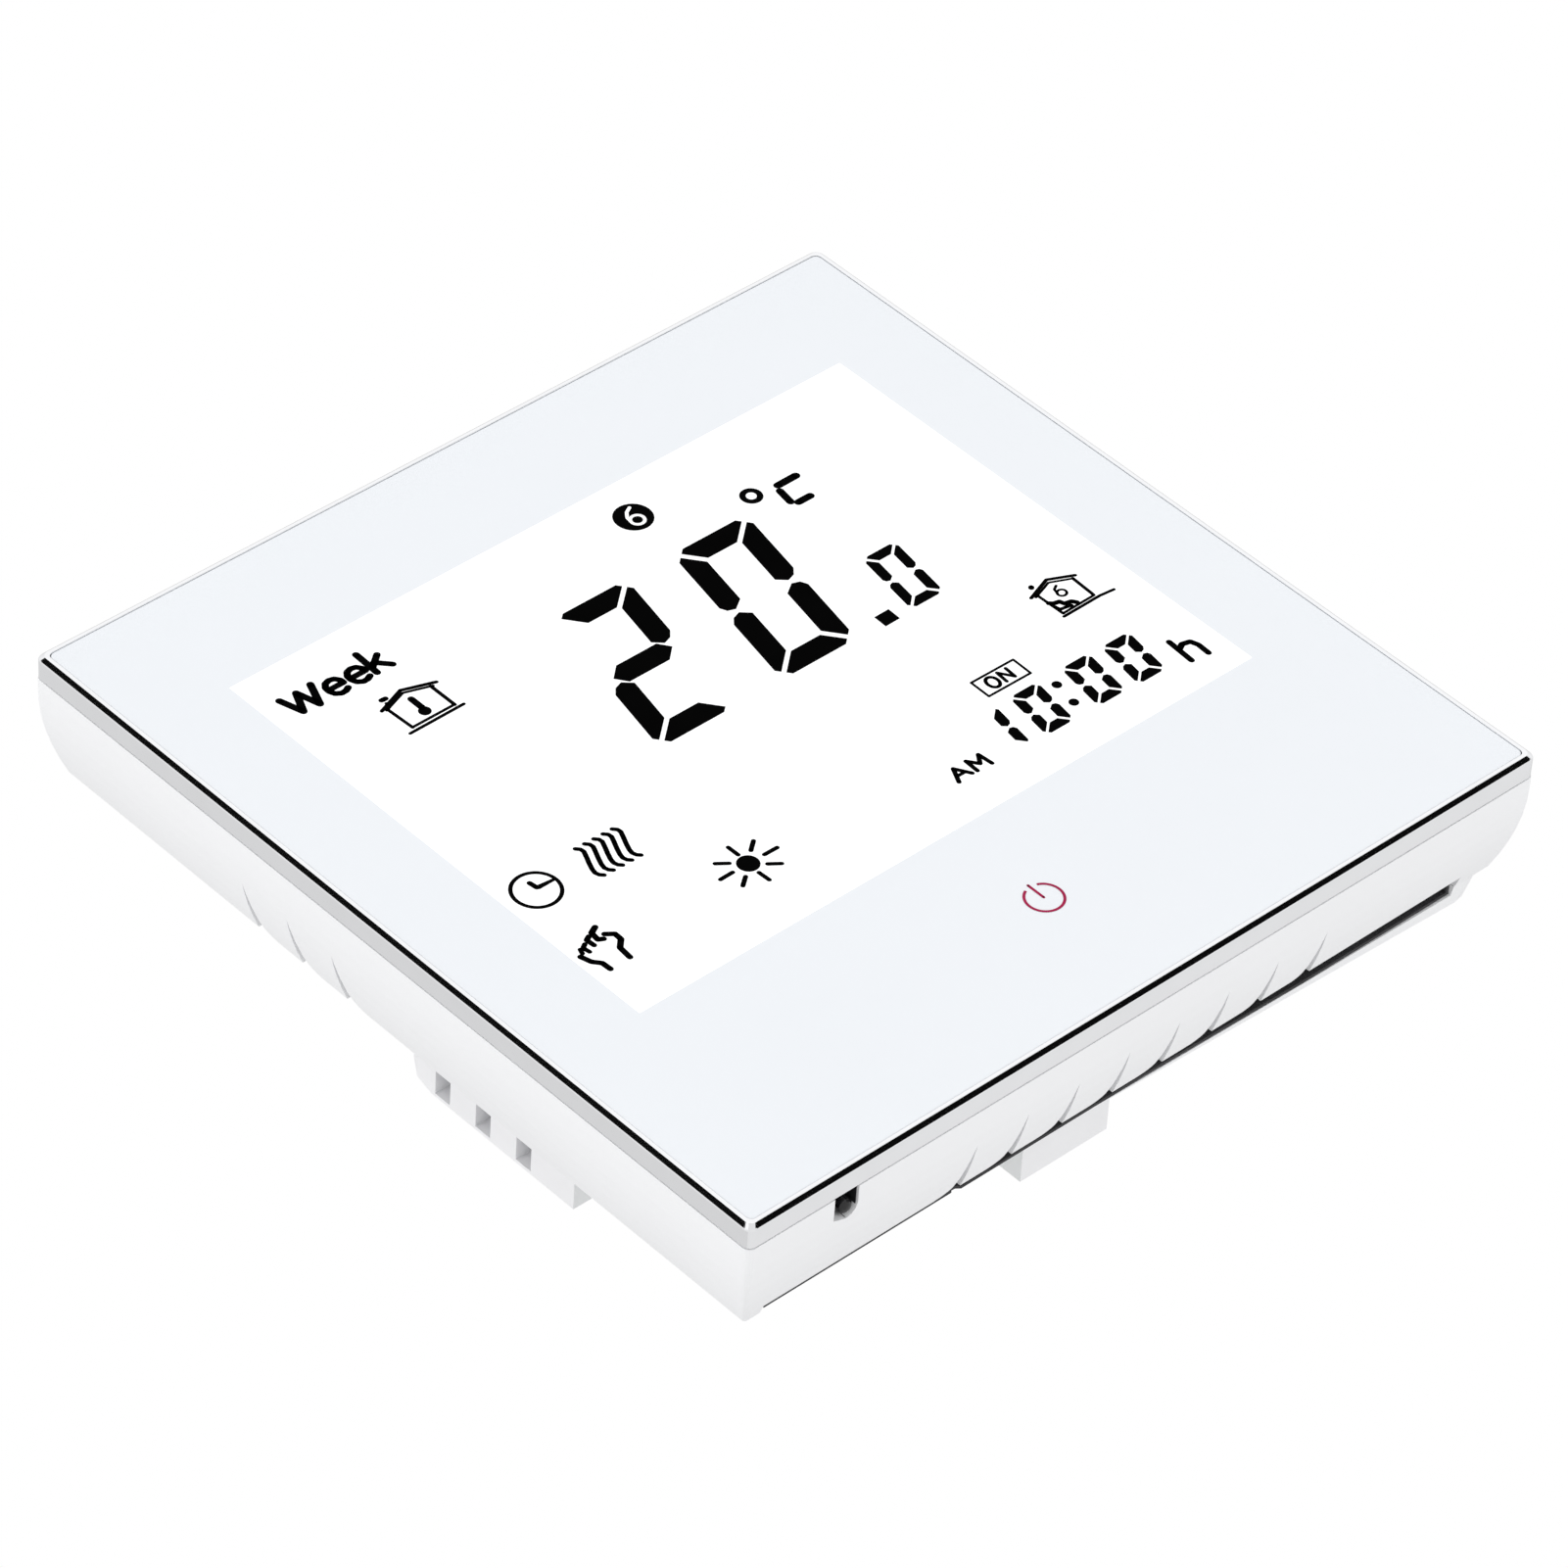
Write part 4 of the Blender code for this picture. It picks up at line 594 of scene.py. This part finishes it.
def make_icons():
    sheet = Sheet(INK_FRONT)
    sheet.strokes(FIRST_HOUSE + SECOND_HOUSE + HAND, LINE_WEIGHT)
    # Thermometer's bulb, and the six in the second house
    sheet.disc(-23.15, 17.75, 0.56)
    sheet.oval(27.1, -4.05, 0.42, 0.4, 0.26)
    sheet.stroke([(26.74, -3.9), (26.9, -3.35), (27.35, -3.1)], 0.26)

    # Clock with its two hands
    sheet.arc(-30.34, -4.11, 2.04, 0.36)
    sheet.stroke([(-30.12, -3.92), (-30.22, -3.18)], 0.5)
    sheet.polygon([(-30.1, -4.22), (-29.9, -3.72), (-28.45, -3.9), (-28.42, -4.22)])

    for index in range(WAVE_COUNT):
        x = WAVE_START[0] + WAVE_STEP[0] * index
        z = WAVE_START[1] + WAVE_STEP[1] * index
        sheet.stroke([(x + across, z + down) for across, down in WAVE], 0.44)
    sheet.disc(*SUN_CENTRE, 0.98)
    for ray in SUN_RAYS:
        sheet.stroke(ray, 0.42)
    sheet.disc(6.18, 25.5, 1.76)
    sheet.place("display_icons", segment_ink, "black_plastic")


def make_words():
    words = Sheet(INK_FRONT)
    words.strokes(WEEK_LINES)
    for left, middle in SHORT_E_PLACES:
        words.stroke([(left + x, middle + z) for x, z in SHORT_E], 0.62)
    words.place("display_week", segment_ink, "black_plastic")
    six = Sheet(SIX_FRONT)
    six.oval(6.22, 25.02, 0.62, 0.6, 0.3)
    six.stroke([(5.62, 25.1), (5.72, 25.75), (6.15, 26.3), (6.75, 26.62)], 0.3)
    six.place("display_circled_six", lit_window, "lcd_grey")

    power = Sheet(INK_FRONT)
    power.arc(0.03, -30.15, 1.62, 0.24, 112, 428)
    power.stroke([(0.01, -28.3), (0.01, -30.1)], 0.24)
    power.place("power_icon", crimson_ink, "black_plastic")


# ----------------------------------------------- chrome frame, painted shade round the sensor

TRIM_CORNER = 0.75
TRIM_CORNER_LEAST = 0.2
TRIM_PROFILE = [
    # inset from the face's edge and depth behind the trim's front, in millimetres
    (0.75, 0.06), (0.735, 0.02), (0.70, 0.0), (0.46, 0.0), (0.42, 0.008), (0.375, 0.03),
    (0.09, 0.313), (0.05, 0.36), (0.018, 0.42), (0.0, 0.5), (0.0, 2.24), (0.02, 2.28), (0.06, 2.3),
    (1.8, 2.3), (1.8, 1.95), (0.75, 1.95),
]


def make_trim():
    """Polished frame with softly rolled edges either side of its bevel."""
    low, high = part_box("chrome_trim")
    mesh = bmesh.new()
    loops = []
    for inset, level in TRIM_PROFILE:
        edge = high.x - inset * MM
        radius = max(TRIM_CORNER - inset / 3, TRIM_CORNER_LEAST) * MM
        outline = corner_outline(-edge, edge, -edge, edge, radius, 8)
        loops.append([mesh.verts.new((x, low.y + level * MM, z)) for x, z in outline])
    for first, second in zip(loops, loops[1:] + loops[:1]):
        join_loops(mesh, first, second)
    bmesh.ops.recalc_face_normals(mesh, faces=mesh.faces)
    frame_piece = put_piece("chrome_frame", mesh, bright_chrome, "front_unit")
    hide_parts("chrome_trim")


POCKET_WALL = 0.05 * MM
POCKET_LEFT = 0.72 * MM  # room left of the bead
POCKET_RIGHT = 0.08 * MM
POCKET_FRONT = 1.5 * MM
POCKET_REAR = 0.12 * MM
POCKET_MOUTH = 0.12 * MM  # mouth's distance behind the bead's outer end
POCKET_BACK = 1.0 * MM  # room behind the bead


def make_painted_shade_pocket():
    """Black lining round the sensor bead, open towards the window: painted shade inside the recess."""
    low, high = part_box("sensor_bead")
    left, right = low.x - POCKET_LEFT, high.x + POCKET_RIGHT
    front, rear = low.y - POCKET_FRONT, high.y + POCKET_REAR
    mouth, back = low.z + POCKET_MOUTH, high.z + POCKET_BACK
    corners = [
        (left, front),
        (right, front),
        (right, rear - 0.5 * MM),
        (right - 0.25 * MM, rear - 0.12 * MM),
        (right - 0.8 * MM, rear),
        (left + 0.4 * MM, rear - 0.1 * MM),
        (left, rear - 0.35 * MM),
    ]
    middle = Vector(((left + right) / 2, (front + rear) / 2))
    mesh = bmesh.new()
    rings = []
    for shrink, level in ((0.0, mouth), (0.0, back), (POCKET_WALL, back - POCKET_WALL), (POCKET_WALL, mouth)):
        ring = []
        for x, y in corners:
            spot = Vector((x, y))
            step = (middle - spot).normalized() * shrink
            ring.append(mesh.verts.new((spot.x + step.x, spot.y + step.y, level)))
        rings.append(ring)
    for first, second in zip(rings, rings[1:]):
        join_loops(mesh, first, second)
    mesh.faces.new(rings[1])
    join_loops(mesh, rings[-1], rings[0])
    bmesh.ops.recalc_face_normals(mesh, faces=mesh.faces)
    # Black lining that paints the shade inside the sensor's window
    put_piece("sensor_pocket_painted_shade", mesh, black_mould, "front_unit")


# ------------------------------------------------------------------ studio


CARD_DISTANCE = 0.9
FLOOR_HALF = 4.0
FLOOR_LEVEL = -1.1
# Strength of the sky in front of the object and behind it
SOFT_LIGHT = (1.06, 0.74)
REFLECTED_LIGHT = (1.12, 0.64)
SOFTBOXES = (
    # name, place, power and size
    ("softbox_left", (-0.9, -0.7, 0.5), 2.2, 0.9),
    ("softbox_under", (0.3, -0.8, -0.9), 1.6, 0.8),
)


def make_card(name, direction, size, material):
    """A square card facing the object, seen only in reflections."""
    mesh = bmesh.new()
    bmesh.ops.create_grid(mesh, x_segments=1, y_segments=1, size=size / 2)
    data = bpy.data.meshes.new(name)
    mesh.to_mesh(data)
    mesh.free()
    data.materials.append(material)
    card = bpy.data.objects.new(name, data)
    towards = Vector(direction).normalized()
    turn = towards.to_track_quat("Z", "Y").to_matrix().to_4x4()
    card.matrix_world = Matrix.Translation(towards * CARD_DISTANCE) @ turn
    bpy.context.scene.collection.objects.link(card)
    card.visible_camera = False
    card.visible_diffuse = False
    card.visible_shadow = False
    card.visible_transmission = False


def sky_strength(nodes, links, height, strengths):
    """Strength falling from the front of the sky to the back."""
    fall = nodes.new("ShaderNodeMapRange")
    fall.inputs["From Min"].default_value = -1.0
    fall.inputs["From Max"].default_value = 1.0
    fall.inputs["To Min"].default_value, fall.inputs["To Max"].default_value = strengths
    links.new(height, fall.inputs["Value"])
    return fall.outputs["Result"]


def make_sky(scene):
    """White sky, softer behind the object and plain white to the camera."""
    world = bpy.data.worlds.new("studio")
    scene.world = world
    world.use_nodes = True
    nodes, links = world.node_tree.nodes, world.node_tree.links
    background = nodes["Background"]
    coords = nodes.new("ShaderNodeTexCoord")
    split = nodes.new("ShaderNodeSeparateXYZ")
    links.new(coords.outputs["Generated"], split.inputs["Vector"])
    soft = sky_strength(nodes, links, split.outputs["Y"], SOFT_LIGHT)
    reflected = sky_strength(nodes, links, split.outputs["Y"], REFLECTED_LIGHT)
    path = nodes.new("ShaderNodeLightPath")
    kind = nodes.new("ShaderNodeMix")
    links.new(path.outputs["Is Glossy Ray"], kind.inputs[0])
    links.new(soft, kind.inputs[2])
    links.new(reflected, kind.inputs[3])
    choose = nodes.new("ShaderNodeMix")
    choose.inputs[3].default_value = 1.0
    links.new(path.outputs["Is Camera Ray"], choose.inputs[0])
    links.new(kind.outputs[0], choose.inputs[2])
    links.new(choose.outputs[0], background.inputs["Strength"])
    background.inputs["Color"].default_value = (1.0, 1.0, 1.0, 1.0)


def make_floor(scene):
    floor = bmesh.new()
    bmesh.ops.create_grid(floor, x_segments=1, y_segments=1, size=FLOOR_HALF)
    floor_data = bpy.data.meshes.new("floor")
    floor.to_mesh(floor_data)
    floor.free()
    pale = finish("pale_floor", (0.90, 0.90, 0.90), 0.6, variation=0.005, scale=3, grain=40, bump=0.0)
    floor_data.materials.append(pale)
    floor_object = bpy.data.objects.new("floor", floor_data)
    floor_object.location = (0.0, 0.0, FLOOR_LEVEL)
    scene.collection.objects.link(floor_object)


def make_studio():
    scene = bpy.context.scene
    make_sky(scene)
    make_floor(scene)

    # Two black cards darken the bevel along the near edges, and a grey one behind the object the far edges
    black = finish("flag_black", (0.004, 0.004, 0.004), 0.9, variation=0.0, bump=0.0)
    black.node_tree.nodes["Principled BSDF"].inputs["Specular IOR Level"].default_value = 0.0
    make_card("flag_below", (0.53, -0.53, -0.66), 0.42, black)
    make_card("flag_left", (-0.66, -0.53, 0.53), 0.42, black)
    grey = glowing(finish("flag_grey", (0.004, 0.004, 0.004), 0.9, variation=0.0, bump=0.0), 0.42)
    make_card("flag_behind", (0.6, 0.53, 0.6), 0.46, grey)

    for name, place, power, size in SOFTBOXES:
        light = bpy.data.lights.new(name, "AREA")
        light.energy = power
        light.size = size
        lamp = bpy.data.objects.new(name, light)
        turn = Vector(place).to_track_quat("Z", "Y").to_matrix().to_4x4()
        lamp.matrix_world = Matrix.Translation(place) @ turn
        lamp.visible_camera = False
        lamp.visible_glossy = False
        scene.collection.objects.link(lamp)
    scene.view_settings.view_transform = "Standard"


make_camera()
paint_nodes()
make_glass()
make_temperature()
make_clock_digits()
make_icons()
make_words()
make_trim()
make_painted_shade_pocket()
make_studio()
